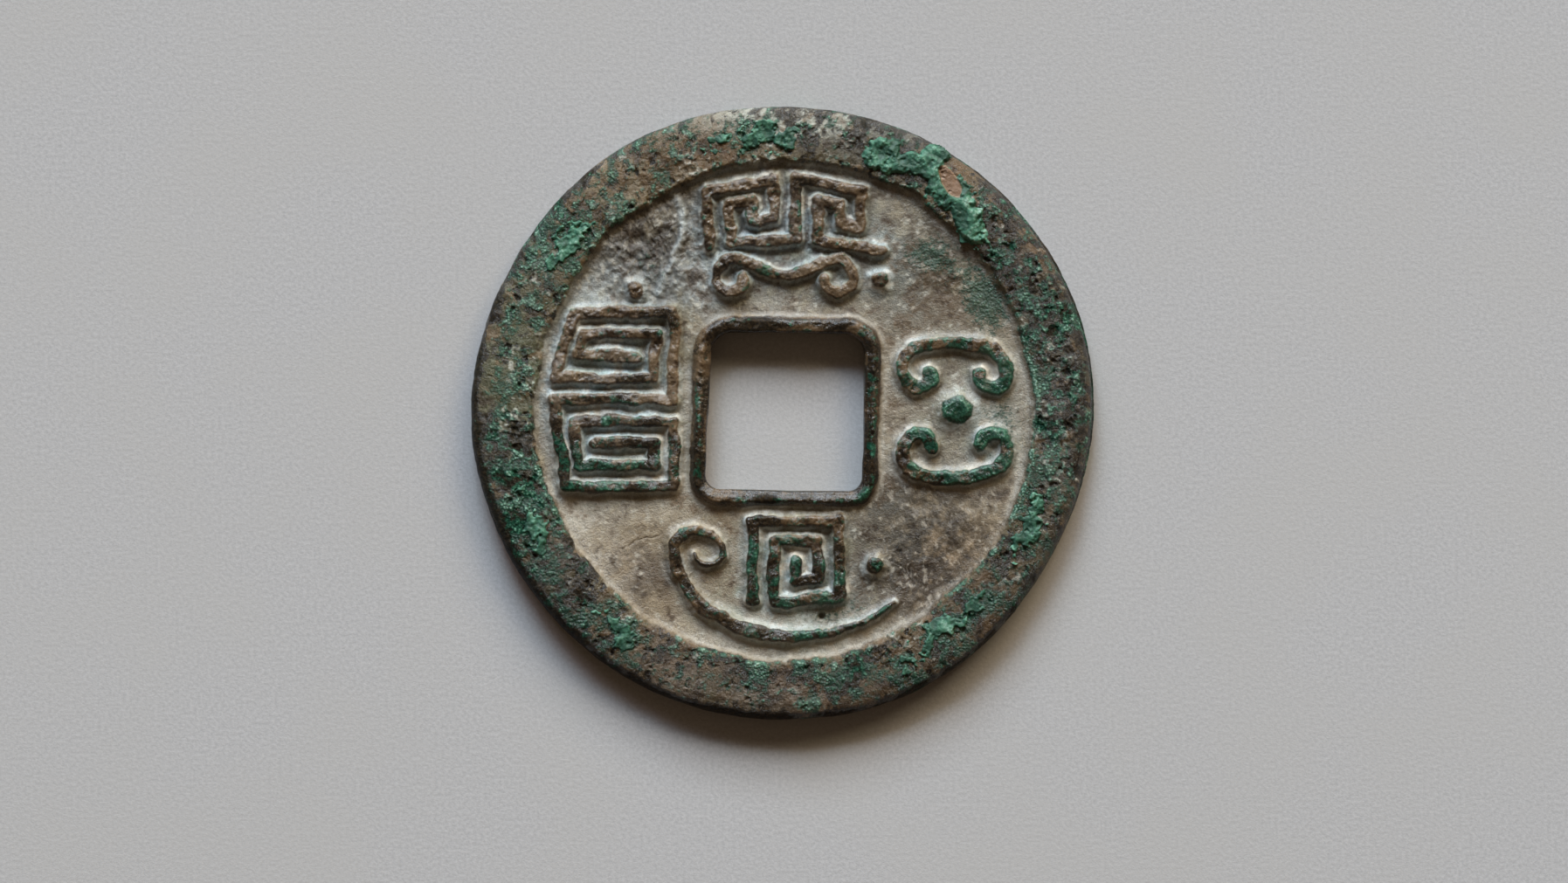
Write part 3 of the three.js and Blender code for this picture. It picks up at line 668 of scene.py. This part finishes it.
# Crowns are worn down to brown
crown_tone = over(mix(BROWN, DARK_BROWN, 0.3), DARK_BROWN, 1, patchy, -0.2, 1.6)
crown = smooth((high + 0.04 * mottle - 0.6) / 0.26)
crown_foot = np.where(Y < UPPER_SIDE, 0.2, 0.26) - 0.12 * smooth((-X - UPPER_SIDE) / 0.2)
crown = np.maximum(crown, near_hole * smooth((high - crown_foot) / 0.25))
tone = paint(tone, crown_tone, 0.92 * crown)
# The dust is cooler by the strokes
by_stroke = 1 - smooth((np.min(list(EDGES.values()), axis=0) - 0.15) / 0.7)
cool = patches(FIELD_COOL) * np.clip(1.05 - 0.5 * patchy, 0.1, 2)
cool = cool * np.where(cool > 0, 0.55 + 0.4 * by_stroke, 1) * (1 - on_rim) * (1 - 0.8 * crown)
tone = tone * (1 + cool[..., None] * COOLING)
tone = dimmed(tone, patches(LAST_SHADE) * (1 - on_rim))

PEAK = PEAK - patches(RIM_DULL) * on_rim
raised_share = np.maximum(on_rim, smooth((high - 0.5) / 0.35))
GREEN = patches(GREEN_PLACES) * (0.12 + 0.88 * raised_share) + patches(FIELD_GREEN) * (1 - raised_share)
GREEN += 0.12 * on_rim + 0.2 * cloudy(101, 0.26, 4, 0.8) * (0.3 + 0.7 * raised_share)
GREEN += 0.25 * crystals * raised_share
DARK = patches(DARK_PLACES) * raised_share + 0.3 * on_rim + 0.3 * crown + 0.16 * inner_share * crown
DARK += 0.26 * cloudy(106, 0.4, 4, 0.8) * (0.2 + 0.8 * on_rim) + 0.16 * noise(107, 0.4) * crown
DARK += 0.5 * pits * on_rim + patches(FIELD_DARK) * (0.6 + 0.5 * mottle) * (1 - raised_share)
# The outer edge is a little darker all round and much darker at the lower left and the bottom, with less
# green there: painted shade where the rounded edge turns away from the light
lower_edge_shade = 0.1 + 0.9 * smooth((0.1 - (0.45 * X + 0.89 * Y) / COIN_RADIUS) / 0.6)
lower_edge_shade = np.maximum(lower_edge_shade, 0.25 * smooth((-0.3 - X / COIN_RADIUS) / 0.4))
left_edge_shade = smooth((0.2 - (X + 0.3 * Y) / COIN_RADIUS) / 0.8)
edge_shade_band = smooth((RHO + rim_wander - STEP_RADIUS - 0.1 * smooth((X + 4) / 8)) / 0.3)
edge_shade_band = 0.8 * edge_shade_band * lower_edge_shade
DARK += edge_shade_band
GREEN -= 0.3 * edge_shade_band

# Meshes


def build(name, node, material, points, faces, patina, normals, use_normal):
    """A piece from its points, faces and patina. Where use_normal says so, it is lit by the given normals."""
    mesh = bpy.data.meshes.new(name)
    mesh.vertices.add(len(points))
    mesh.vertices.foreach_set("co", (points * MM).astype(np.float32).ravel())
    mesh.loops.add(faces.size)
    mesh.loops.foreach_set("vertex_index", faces.astype(np.int32).ravel())
    mesh.polygons.add(len(faces))
    mesh.polygons.foreach_set("loop_start", np.arange(0, faces.size, 4, dtype=np.int32))
    mesh.polygons.foreach_set("use_smooth", np.ones(len(faces), bool))
    mesh.update(calc_edges=True)
    mesh.validate()
    count = len(points)
    rgba_values = np.concatenate([patina["tone"].reshape(-1, 3), np.ones((count, 1))], 1)
    made = mesh.attributes.new("tone", "FLOAT_COLOR", "POINT")
    made.data.foreach_set("color", rgba_values.astype(np.float32).ravel())
    for key in ("green", "dark", "peak"):
        made = mesh.attributes.new(key, "FLOAT", "POINT")
        made.data.foreach_set("value", patina[key].astype(np.float32).ravel())
    own = np.zeros(count * 3, np.float32)
    mesh.vertex_normals.foreach_get("vector", own)
    chosen = np.where(use_normal[:, None], normals, own.reshape(-1, 3))
    mesh.normals_split_custom_set_from_vertices(chosen.tolist())
    mesh.materials.append(material)
    piece = bpy.data.objects.new(name, mesh)
    bpy.context.scene.collection.objects.link(piece)
    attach(piece, "root")
    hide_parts(node)


def surface_normals(x, y, height=HEIGHT, reach=0.03):
    dx = (sample(height, x + reach, y) - sample(height, x - reach, y)) / (2 * reach)
    dy = (sample(height, x, y + reach) - sample(height, x, y - reach)) / (2 * reach)
    normals = np.stack([-dx, -dy, np.ones_like(dx)], -1)
    return normals / np.linalg.norm(normals, axis=-1, keepdims=True)


def face_patina(x, y):
    maps = {"tone": tone, "green": GREEN, "dark": DARK, "peak": PEAK}
    return {key: sample(made, x, y) for key, made in maps.items()}


# The reverse has the same kinds of patina, from the same clouds looked up elsewhere
REVERSE_TURN = 1.9
reverse_grain = blurred(grain + coarse_grain, 0.07)
soft_blotch = blurred(blotch + 0.7 * mottle, 0.09)
plain_tone = over(mix(TAN, BROWN, 0.45), LIGHT_TAN, 0.6, -soft_blotch, 0.1, 1.2)
plain_tone = over(plain_tone, GREY_BROWN, 0.8, soft_blotch, 0.1, 1.1)
plain_tone = over(plain_tone, DARK_BROWN, 0.5, soft_blotch, 1.1, 0.8)
green_cloud, dark_cloud = cloudy(111, 0.6, 3, 0.7), cloudy(116, 0.6, 3, 0.7)


def elsewhere(x, y):
    cos, sin = math.cos(REVERSE_TURN), math.sin(REVERSE_TURN)
    return x * cos - y * sin, -(x * sin + y * cos)


def reverse_patina(x, y, rimness):
    at = elsewhere(x, y)
    return {
        "tone": paint(sample(plain_tone, *at), sample(rim_tone, *at), rimness),
        "green": 0.1 + 0.26 * rimness + 0.2 * sample(green_cloud, *at) * (0.6 + 0.4 * rimness),
        "dark": 0.14 + 0.3 * rimness + 0.18 * sample(dark_cloud, *at) * (0.5 + 0.5 * rimness),
        "peak": 0.6 * sample(reverse_grain, *at),
    }


def blended(under, upper, share):
    """One patina that passes into another."""
    return {key: mix(under[key], upper[key], share) for key in under}


# Each row of points round a ring is its x, y and z, its patina, and the normals that light it, if any


def top_row(x, y, lit=True):
    return x, y, sample(HEIGHT, x, y), face_patina(x, y), surface_normals(x, y) if lit else None


def reverse_row(x, y, rho, from_hole):
    """The underside: the field is set back, and the rims' lands lie at or just above z = 0."""
    at = elsewhere(x, y)
    wander = 0.03 * sample(worn, *at)
    rim = ease((rho + wander - WAIST) / SHOULDER_RUN)
    inner = ease((INNER_RIM - from_hole + wander) / INNER_SHOULDER)
    rough = 0.02 + 0.014 * sample(reverse_grain, *at)
    z = FIELD_BOTTOM * (1 - rim) - (FIELD_BOTTOM - INNER_DROP) * inner
    z = np.maximum(z + rough * (0.4 + 0.6 * rim), 0.0)
    return x, y, z, reverse_patina(x, y, np.maximum(rim, inner)), None


def make_ring(name, node, material, rows, turned_over):
    """A ring whose section closes on itself, from its rows of points."""
    around = len(rows[0][0])
    i, j = np.meshgrid(np.arange(around), np.arange(len(rows)))
    next_i, next_j = (i + 1) % around, (j + 1) % len(rows)
    corners = [j * around + i, j * around + next_i, next_j * around + next_i, next_j * around + i]
    faces = np.stack(corners[::-1] if turned_over else corners, -1).reshape(-1, 4)
    points = np.concatenate([np.stack([x, y, z], -1) for x, y, z, _, _ in rows])
    patina = {key: np.concatenate([row[3][key] for row in rows]) for key in rows[0][3]}
    normals = np.concatenate([np.zeros((around, 3)) if row[4] is None else row[4] for row in rows])
    use_normal = np.concatenate([np.full(around, row[4] is not None) for row in rows])
    build(name, node, material, points, faces, patina, normals, use_normal)


# Materials


class Graph:
    """Short ways to add the shader nodes used here."""

    def __init__(self, name):
        self.material = bpy.data.materials.new(name)
        self.material.use_nodes = True
        self.tree = self.material.node_tree
        self.tree.nodes.clear()

    def add(self, kind, **settings):
        node = self.tree.nodes.new(kind)
        for key, value in settings.items():
            setattr(node, key, value)
        return node

    def put(self, socket, value):
        if isinstance(value, bpy.types.NodeSocket):
            self.tree.links.new(value, socket)
        else:
            socket.default_value = value

    def filled(self, node, values, output=0):
        """A node's output, with its inputs given by number or by name."""
        for key, value in values.items():
            self.put(node.inputs[key], value)
        return node.outputs[output]

    def math(self, operation, *values):
        return self.filled(self.add("ShaderNodeMath", operation=operation), dict(enumerate(values)))

    def times(self, a, b):
        return self.math("MULTIPLY", a, b)

    def line(self, value, slope, start):
        return self.math("MULTIPLY_ADD", value, slope, start)

    def swung(self, value, *swings):
        """A value that each noise moves up and down, by half of its amount either way."""
        for cloud, amount in swings:
            value = self.math("ADD", value, self.line(cloud, amount, -amount / 2))
        return value

    def step(self, value, low, high, to_low=0.0, to_high=1.0):
        node = self.add("ShaderNodeMapRange", interpolation_type="SMOOTHSTEP")
        return self.filled(node, dict(enumerate((value, low, high, to_low, to_high))))

    def blend(self, a, b, share):
        node = self.add("ShaderNodeMix", data_type="RGBA", blend_type="MIX")
        return self.filled(node, {0: share, 6: a, 7: b}, 2)

    def scaled(self, vector, by):
        node = self.add("ShaderNodeVectorMath", operation="SCALE")
        return self.filled(node, {0: vector, "Scale": by})

    def millimetres(self):
        return self.scaled(self.add("ShaderNodeTexCoord").outputs["Object"], 1 / MM)

    def noise(self, place, scale, detail, roughness, distortion=0.0):
        values = {"Scale": scale, "Detail": detail, "Roughness": roughness, "Distortion": distortion}
        return self.filled(self.add("ShaderNodeTexNoise"), {"Vector": place, **values}, "Fac")

    def attribute(self, name, output="Fac"):
        return self.add("ShaderNodeAttribute", attribute_name=name).outputs[output]

    def shaded(self, colour, roughness, specular, height, bump, strength=1.0):
        """The finished material, bumped by a height of so many millimetres."""
        values = {"Height": height, "Strength": strength, "Distance": bump * MM}
        normal = self.filled(self.add("ShaderNodeBump"), values)
        values = {"Base Color": colour, "Roughness": roughness, "Specular IOR Level": specular}
        shader = self.filled(self.add("ShaderNodeBsdfPrincipled"), {**values, "Normal": normal})
        self.put(self.add("ShaderNodeOutputMaterial").inputs["Surface"], shader)
        return self.material


def rgba(colour):
    return (*[float(c) for c in colour], 1.0)


def patina_material(name, grain, bump, gloss, breakup=1.3, knobby=0.5, lift=0.0):
    """Old bronze: its tone, then dark, green and pale coverings that break up over fine noise."""
    g = Graph(name)
    place = g.millimetres()
    coarse = g.noise(place, 2.6, 6.0, 0.68)
    middle = g.noise(place, 7.0, 5.0, 0.65, 0.4)
    fine = g.noise(place, 19.0, 3.0, 0.65)
    cells = g.add("ShaderNodeTexVoronoi", feature="SMOOTH_F1")
    cells = g.filled(cells, {"Vector": place, "Scale": 7.5, "Smoothness": 0.35}, "Distance")
    knobs = g.step(cells, 0.75, 0.1)
    green, dark, peak = g.attribute("green"), g.attribute("dark"), g.attribute("peak")

    value = g.line(middle, grain, 1 - grain / 2)
    value = g.times(value, g.line(fine, 0.7, 0.65))
    value = g.times(value, g.line(peak, 0.16, 1.0))
    colour = g.scaled(g.attribute("tone", "Color"), value)

    dark_level = g.swung(dark, (coarse, 1.2), (middle, 0.6), (fine, 0.4))
    dark_cover = g.step(g.line(peak, -0.06, dark_level), 0.34, 0.6)
    dark_colour = g.blend(rgba(DARKEST), rgba(DARK_EARTH), g.step(middle, 0.42, 0.64))
    colour = g.blend(colour, dark_colour, g.times(dark_cover, 0.9))

    green_level = g.swung(green, (middle, breakup), (fine, breakup / 2), (coarse, 1.0))
    green_cover = g.step(g.line(peak, 0.05, green_level), 0.3, 0.62)
    green_colour = g.blend(rgba(DARKEST_GREEN), rgba(DEEP_GREEN), g.step(fine, 0.38, 0.6))
    bright = g.line(peak, 0.22, g.times(knobs, knobby))
    bright = g.line(green, 0.35, bright)
    bright = g.math("ADD", bright, g.line(coarse, 0.8, lift - 0.4))
    green_colour = g.blend(green_colour, rgba(MALACHITE), g.step(bright, 0.3, 0.85))
    pale = g.step(g.line(fine, 0.5, bright), 0.95, 1.3)
    green_colour = g.blend(green_colour, rgba(PALE_GREEN), g.times(pale, 0.75))
    colour = g.blend(colour, green_colour, g.times(green_cover, 0.84))

    roughness = g.times(g.step(middle, 0.35, 0.75, gloss, gloss + 0.2), g.line(dark_cover, -0.3, 1.0))
    roughness = g.line(green_cover, 0.08, roughness)
    specular = g.step(dark, 0.8, 1.15, 0.65, 0.08)
    height = g.line(fine, 0.4, g.times(middle, 0.8))
    knob_height = g.times(knobs, 0.6 * knobby)
    height = g.math("ADD", height, g.times(g.math("ADD", green_cover, 0.25), knob_height))
    return g.shaded(colour, roughness, specular, height, bump)


FIELD_MATERIAL = patina_material("field_patina", 0.8, 0.06, 0.36, lift=-0.25)
RIM_MATERIAL = patina_material("rim_patina", 0.8, 0.09, 0.25, 1.0)
RELIEF_MATERIAL = patina_material("relief_patina", 0.6, 0.045, 0.22, 0.9, 0.25, -0.12)
CRUST_MATERIAL = patina_material("crust_malachite", 0.5, 0.04, 0.42, 1.3, 0.2, 0.08)

# The pieces

# Under a stroke the field dips by so much, and so does a stroke's own surface past its foot, so that
# they never lie in one place
DIP = 0.1


def make_field(around=820, top_rows=76, bottom_rows=44):
    at = off_hole(INNER_RIM)
    angles = np.unwrap(np.arctan2(at[1], at[0]))
    angles = angles - 2 * math.pi * round(angles[0] / (2 * math.pi))
    want = np.linspace(0, 2 * math.pi, around, endpoint=False)
    wrapped = np.concatenate([angles - 2 * math.pi, angles, angles + 2 * math.pi])
    inner = np.stack([np.interp(want, wrapped, np.tile(line, 3)) for line in at])
    outer = WAIST * np.stack([np.cos(want), np.sin(want)])
    rows = []
    for share in np.linspace(0, 1, top_rows):
        x, y = mix(inner, outer, share)
        under = np.min([sample(edge, x, y) for edge in EDGES.values()], axis=0)
        x, y, z, *rest = top_row(x, y)
        rows.append((x, y, z - DIP * smooth((FOOT - under) / 0.1), *rest))
    for share in np.linspace(1, 0, bottom_rows):
        x, y = mix(inner, outer, share)
        rows.append(reverse_row(x, y, np.hypot(x, y), sample(FROM_HOLE, x, y)))
    make_ring("field", "field_plate", FIELD_MATERIAL, rows, True)


# How far the top's patina runs on over the edge before it is folded back
FOLD, FOLD_SHIFT = 0.4, 0.07
# Maps are looked up so far inside the side wall, and the edge's last top rows are lit by their mesh
INSIDE, UNLIT = 0.97, 0.1


def arc(across, up, half_x, half_y, start, end, steps):
    """Points round an ellipse from one angle to another, without the first."""
    turns = np.radians(np.linspace(start, end, steps + 1)[1:])
    return [(across + half_x * math.cos(a), up + half_y * math.sin(a)) for a in turns]


def upright(across, top, bottom, steps):
    return [(across, z) for z in np.linspace(top, bottom, steps + 1)[1:]]


def make_outer_rim(around=1120, top_rows=45, arc_rows=7, side_rows=5, bottom_rows=24):
    theta = np.linspace(0, 2 * math.pi, around, endpoint=False)
    bearing = np.stack([np.cos(theta), np.sin(theta)])

    def circle(rho):
        return real_radius(rho, theta) * bearing

    drop = sample(HEIGHT, *circle(LAND_EDGE)) - RIM_TOP
    rows = []
    for rho in np.linspace(WAIST, LAND_EDGE, top_rows):
        rows.append(top_row(*circle(rho), lit=rho < LAND_EDGE - UNLIT))
    side = [
        *arc(LAND_EDGE, RIM_TOP - EDGE_DROP, EDGE_RADIUS, EDGE_DROP, 90, 0, arc_rows),
        *upright(COIN_RADIUS, RIM_TOP - EDGE_DROP, EDGE_RADIUS, side_rows),
        *arc(LAND_EDGE, EDGE_RADIUS, EDGE_RADIUS, EDGE_RADIUS, 0, -90, arc_rows),
    ]
    path = np.cumsum(np.hypot(*np.diff([(LAND_EDGE, RIM_TOP), *side], axis=0).T))
    for (rho, z), from_top in zip(side, path):
        radius = real_radius(rho, theta)
        x, y = radius * bearing
        # Small dents and wear, which only ever take metal away
        at = x * INSIDE, y * INSIDE
        wear = 0.02 + 0.012 * sample(worn, *at) + 0.01 * sample(grain, x * 0.9 + z, y * 0.9)
        wear = np.clip(wear, 0, 0.08) + 0.11 * sample(edge_step, *at) * smooth((z - 0.72) / 0.1)
        x, y = x * (1 - wear / radius), y * (1 - wear / radius)
        # The side's patina is the rim's, folded over the edge, and the underside's, folded up
        down = (LAND_EDGE + FOLD - abs(from_top - FOLD)) / rho
        up = (LAND_EDGE + 2 * FOLD - abs(path[-1] - from_top - 2 * FOLD)) / rho
        # Past the fold it also shifts along the edge, so that it doesn't mirror itself
        shift = FOLD_SHIFT * max(from_top - FOLD, 0)
        cos, sin = math.cos(shift) * down, math.sin(shift) * down
        share = smooth((z - 0.5) / 0.6)
        under = reverse_patina(x * up, y * up, np.ones_like(x))
        patina = blended(under, face_patina(x * cos - y * sin, x * sin + y * cos), share)
        # The painted shade of the lower edge, which also takes green away, starts higher at the left
        at = x * INSIDE, y * INSIDE
        band = sample(lower_edge_shade, *at)
        start = 0.38 - 0.1 * sample(left_edge_shade, *at) + 0.05 * sample(worn, *at)
        past = smooth((rho - LAND_EDGE - start) / 0.12)
        patina["dark"] += (0.15 + 0.75 * band) * past + 0.25 * (1 - share)
        patina["green"] -= 0.25 * band * past
        rows.append((x, y, z + drop * smooth((z - 0.6) / 0.7), patina, None))
    for rho in np.linspace(LAND_EDGE, WAIST, bottom_rows)[1:]:
        rows.append(reverse_row(*circle(rho), rho, FAR))
    make_ring("outer_rim_bronze", "outer_rim", RIM_MATERIAL, rows, True)


def make_inner_rim(top_rows=20, arc_rows=5, wall_rows=14, bottom_rows=10):
    low, high = INNER_DROP, RIM_TOP - INNER_DROP
    drop = sample(HEIGHT, *off_hole(HOLE_EDGE)) - high
    rows = []
    for across in np.linspace(INNER_RIM, HOLE_EDGE, top_rows):
        rows.append(top_row(*off_hole(across), lit=across > HOLE_EDGE + UNLIT))
    wall = [
        *arc(HOLE_EDGE, high - HOLE_EDGE, HOLE_EDGE, HOLE_EDGE, 90, 180, arc_rows),
        *upright(0, high - HOLE_EDGE, low + HOLE_EDGE, wall_rows),
        *arc(HOLE_EDGE, low + HOLE_EDGE, HOLE_EDGE, HOLE_EDGE, 180, 270, arc_rows),
    ]
    for across, z in wall:
        x, y = off_hole(across)
        wear = np.clip(0.02 + 0.02 * sample(worn, x + z, y - z), 0, 0.06)
        x, y = x + wear * HOLE_AWAY[:, 0], y + wear * HOLE_AWAY[:, 1]
        # The wall's patina is the top's, folded down into the hole, and the underside's
        under = reverse_patina(x + 2 * z, y - 2 * z, np.ones_like(x))
        folded = face_patina(*off_hole(0.05 + 0.55 * (high - z)))
        patina = blended(under, folded, smooth((z - 0.5) / 0.7))
        rows.append((x, y, z + drop * smooth((z - 0.6) / 0.7), patina, None))
    for across in np.linspace(HOLE_EDGE, INNER_RIM, bottom_rows)[1:]:
        x, y = off_hole(across)
        rows.append(reverse_row(x, y, np.hypot(x, y), across))
    make_ring("inner_rim_bronze", "inner_rim", RELIEF_MATERIAL, rows, False)


def cell_corners(grid):
    """The four corners of every cell of a grid, anticlockwise."""
    return grid[:-1, :-1], grid[:-1, 1:], grid[1:, 1:], grid[1:, :-1]


def make_patch(name, node, material, inside, top, lit_by, bottom, patina_of, pitch=0.042):
    """A closed solid under a patch of height map: inside is above zero where the patch is."""
    ups, acrosses = np.nonzero(inside > 0)
    line_x = np.arange(AXIS[acrosses.min()] - pitch, AXIS[acrosses.max()] + 2 * pitch, pitch)
    line_y = np.arange(AXIS[ups.min()] - pitch, AXIS[ups.max()] + 2 * pitch, pitch)
    x, y = np.meshgrid(line_x, line_y)
    keep = sample(inside, x, y) > 0
    cells = np.logical_and.reduce(cell_corners(keep))
    used = np.zeros_like(keep)
    for corner in cell_corners(used):
        corner |= cells
    count = used.sum()
    index = np.full(keep.shape, -1)
    index[used] = np.arange(count)
    x, y = x[used], y[used]
    upper = np.stack([x, y, sample(top, x, y)], -1)
    lower = np.stack([x, y, np.full(count, bottom)], -1)
    quads = np.stack(cell_corners(index), -1)[cells]
    edges = np.concatenate([quads[:, [k, (k + 1) % 4]] for k in range(4)])
    shared = np.isin(edges[:, 0] * count + edges[:, 1], edges[:, 1] * count + edges[:, 0])
    start, end = edges[~shared].T
    walls = np.stack([end, start, start + count, end + count], -1)
    faces = np.concatenate([quads, quads[:, ::-1] + count, walls])
    patina = {key: np.concatenate([values, values]) for key, values in patina_of(x, y).items()}
    normals = surface_normals(x, y, lit_by)
    normals = np.concatenate([normals, np.zeros_like(normals)])
    points = np.concatenate([upper, lower])
    build(name, node, material, points, faces, patina, normals, np.arange(2 * count) < count)


make_field()
make_outer_rim()
make_inner_rim()

# The strokes' own surfaces run on so far past their foot
RUN_ON = 0.09
for name, edge in EDGES.items():
    make_patch(
        name + "_bronze", name, RELIEF_MATERIAL, FOOT + RUN_ON - 0.03 - edge,
        HEIGHT - DIP * smooth((edge - FOOT) / RUN_ON), HEIGHT, FIELD_TOP - 0.2, face_patina,
    )

# The crust is darker where it runs down the rim's inner slope, which turns away from the light: partly a
# darker green and partly painted shade
CRUST_SLOPE = ((0.55, 6.1, 10.95, 1.4, 0.4, -27), (0.4, 8, 9.2, 1.4, 0.3, -60))
crust_tone = paint(MALACHITE, CHIP_BROWN, chip)
crust_green = (0.95 + 0.15 * mottle) * (1 - chip)
crust_dark = patches(CRUST_SLOPE) + 0.16 * mottle + 0.3 * pits - 0.4 * chip - 0.1


def crust_patina(x, y):
    return {
        "tone": sample(crust_tone, x, y),
        "green": sample(crust_green, x, y),
        "dark": sample(crust_dark, x, y),
        "peak": np.clip(0.4 + sample(crust_lumps, x, y), -1.2, 1.4) * (1 - sample(chip, x, y)),
    }


CRUST_MARGIN = 0.06
for number, (edge, rise) in enumerate(zip(CRUST_EDGE, CRUST_RISE), 1):
    top = HEIGHT + rise - DIP * smooth((edge + CRUST_MARGIN) / (2 * CRUST_MARGIN))
    make_patch(
        f"malachite_crust_{number}_lump", f"malachite_crust_{number}", CRUST_MATERIAL,
        CRUST_MARGIN - edge, top, top, RIM_TOP - 0.16, crust_patina, 0.04,
    )

# Floor
FLOOR_HALF = 1.5
PAPER_DARK, PAPER_LIGHT, PAPER_PLAIN = srgb(171, 172, 174), srgb(191, 192, 194), srgb(182, 182, 181)


def floor_material():
    g = Graph("floor_paper")
    place = g.millimetres()
    grain, broad = g.noise(place, 6.0, 4.0, 0.7), g.noise(place, 0.12, 3.0, 0.5)
    colour = g.blend(rgba(PAPER_DARK), rgba(PAPER_LIGHT), g.step(grain, 0.25, 0.75))
    colour = g.blend(colour, rgba(PAPER_PLAIN), g.times(g.step(broad, 0.35, 0.7), 0.5))
    return g.shaded(colour, 0.75, 0.25, grain, 0.025, 0.6)


floor_mesh = bpy.data.meshes.new("floor")
floor_corners = [(x * FLOOR_HALF, y * FLOOR_HALF, 0) for x, y in ((-1, -1), (1, -1), (1, 1), (-1, 1))]
floor_mesh.from_pydata(floor_corners, [], [(0, 1, 2, 3)])
floor_mesh.materials.append(floor_material())
floor = bpy.data.objects.new("floor", floor_mesh)
bpy.context.scene.collection.objects.link(floor)

# Light
ROOM_TINT, ROOM_STRENGTH = (1.43, 0.98, 0.62, 1.0), 0.06
scene = bpy.context.scene
scene.world = bpy.data.worlds.new("room")
scene.world.use_nodes = True
background = scene.world.node_tree.nodes["Background"]
background.inputs["Color"].default_value = ROOM_TINT
background.inputs["Strength"].default_value = ROOM_STRENGTH

# A wide window straight up the picture: bearing, half its width, power and tint of each pane. It is
# brightest a little left of the middle, and falls off to a dim warm right end
WINDOW_DISTANCE, WINDOW_ELEVATION, HALF_TALL = 3.0, 28.6, 11.8
PANES = (
    (118, 8, 13.5, (1.18, 1.0, 1.06)),
    (100, 10, 87.2, (0.823, 1.0, 1.145)),
    (80, 10, 30.5, (1.01, 1.0, 1.05)),
    (57, 13, 41.2, (1.25, 1.0, 0.66)),
)
elevation = math.radians(WINDOW_ELEVATION)
along, up = WINDOW_DISTANCE * math.cos(elevation), WINDOW_DISTANCE * math.sin(elevation)
for number, (bearing_degrees, half_wide, power, tint) in enumerate(PANES):
    bearing = math.radians(bearing_degrees)
    light = bpy.data.lights.new(f"pane_{number}", "AREA")
    light.shape = "RECTANGLE"
    light.size = 2 * WINDOW_DISTANCE * math.tan(math.radians(half_wide))
    light.size_y = 2 * WINDOW_DISTANCE * math.tan(math.radians(HALF_TALL))
    light.energy = power
    light.color = tint
    window = bpy.data.objects.new(f"pane_{number}", light)
    window.location = along * math.cos(bearing), along * math.sin(bearing), up
    window.rotation_mode = "QUATERNION"
    window.rotation_quaternion = (-window.location).to_track_quat("-Z", "Y")
    scene.collection.objects.link(window)

# Camera
FRAME_WIDTH_PX, PX_PER_MM, CAMERA_HEIGHT = 1795, 24.41, 400.0
LOOK_X, LOOK_Y, SUBJECT_Z = -0.04, -1.455, 1.1
SENSOR = 36
camera_data = bpy.data.cameras.new("camera")
camera_data.sensor_width = SENSOR
camera_data.lens = SENSOR * (CAMERA_HEIGHT - SUBJECT_Z) / (FRAME_WIDTH_PX / PX_PER_MM)
camera_data.clip_start, camera_data.clip_end = 0.05, 5
camera = bpy.data.objects.new("camera", camera_data)
camera.location = (LOOK_X * MM, LOOK_Y * MM, CAMERA_HEIGHT * MM)
scene.collection.objects.link(camera)
scene.camera = camera
scene.view_settings.view_transform = "Standard"

bpy.context.view_layer.update()
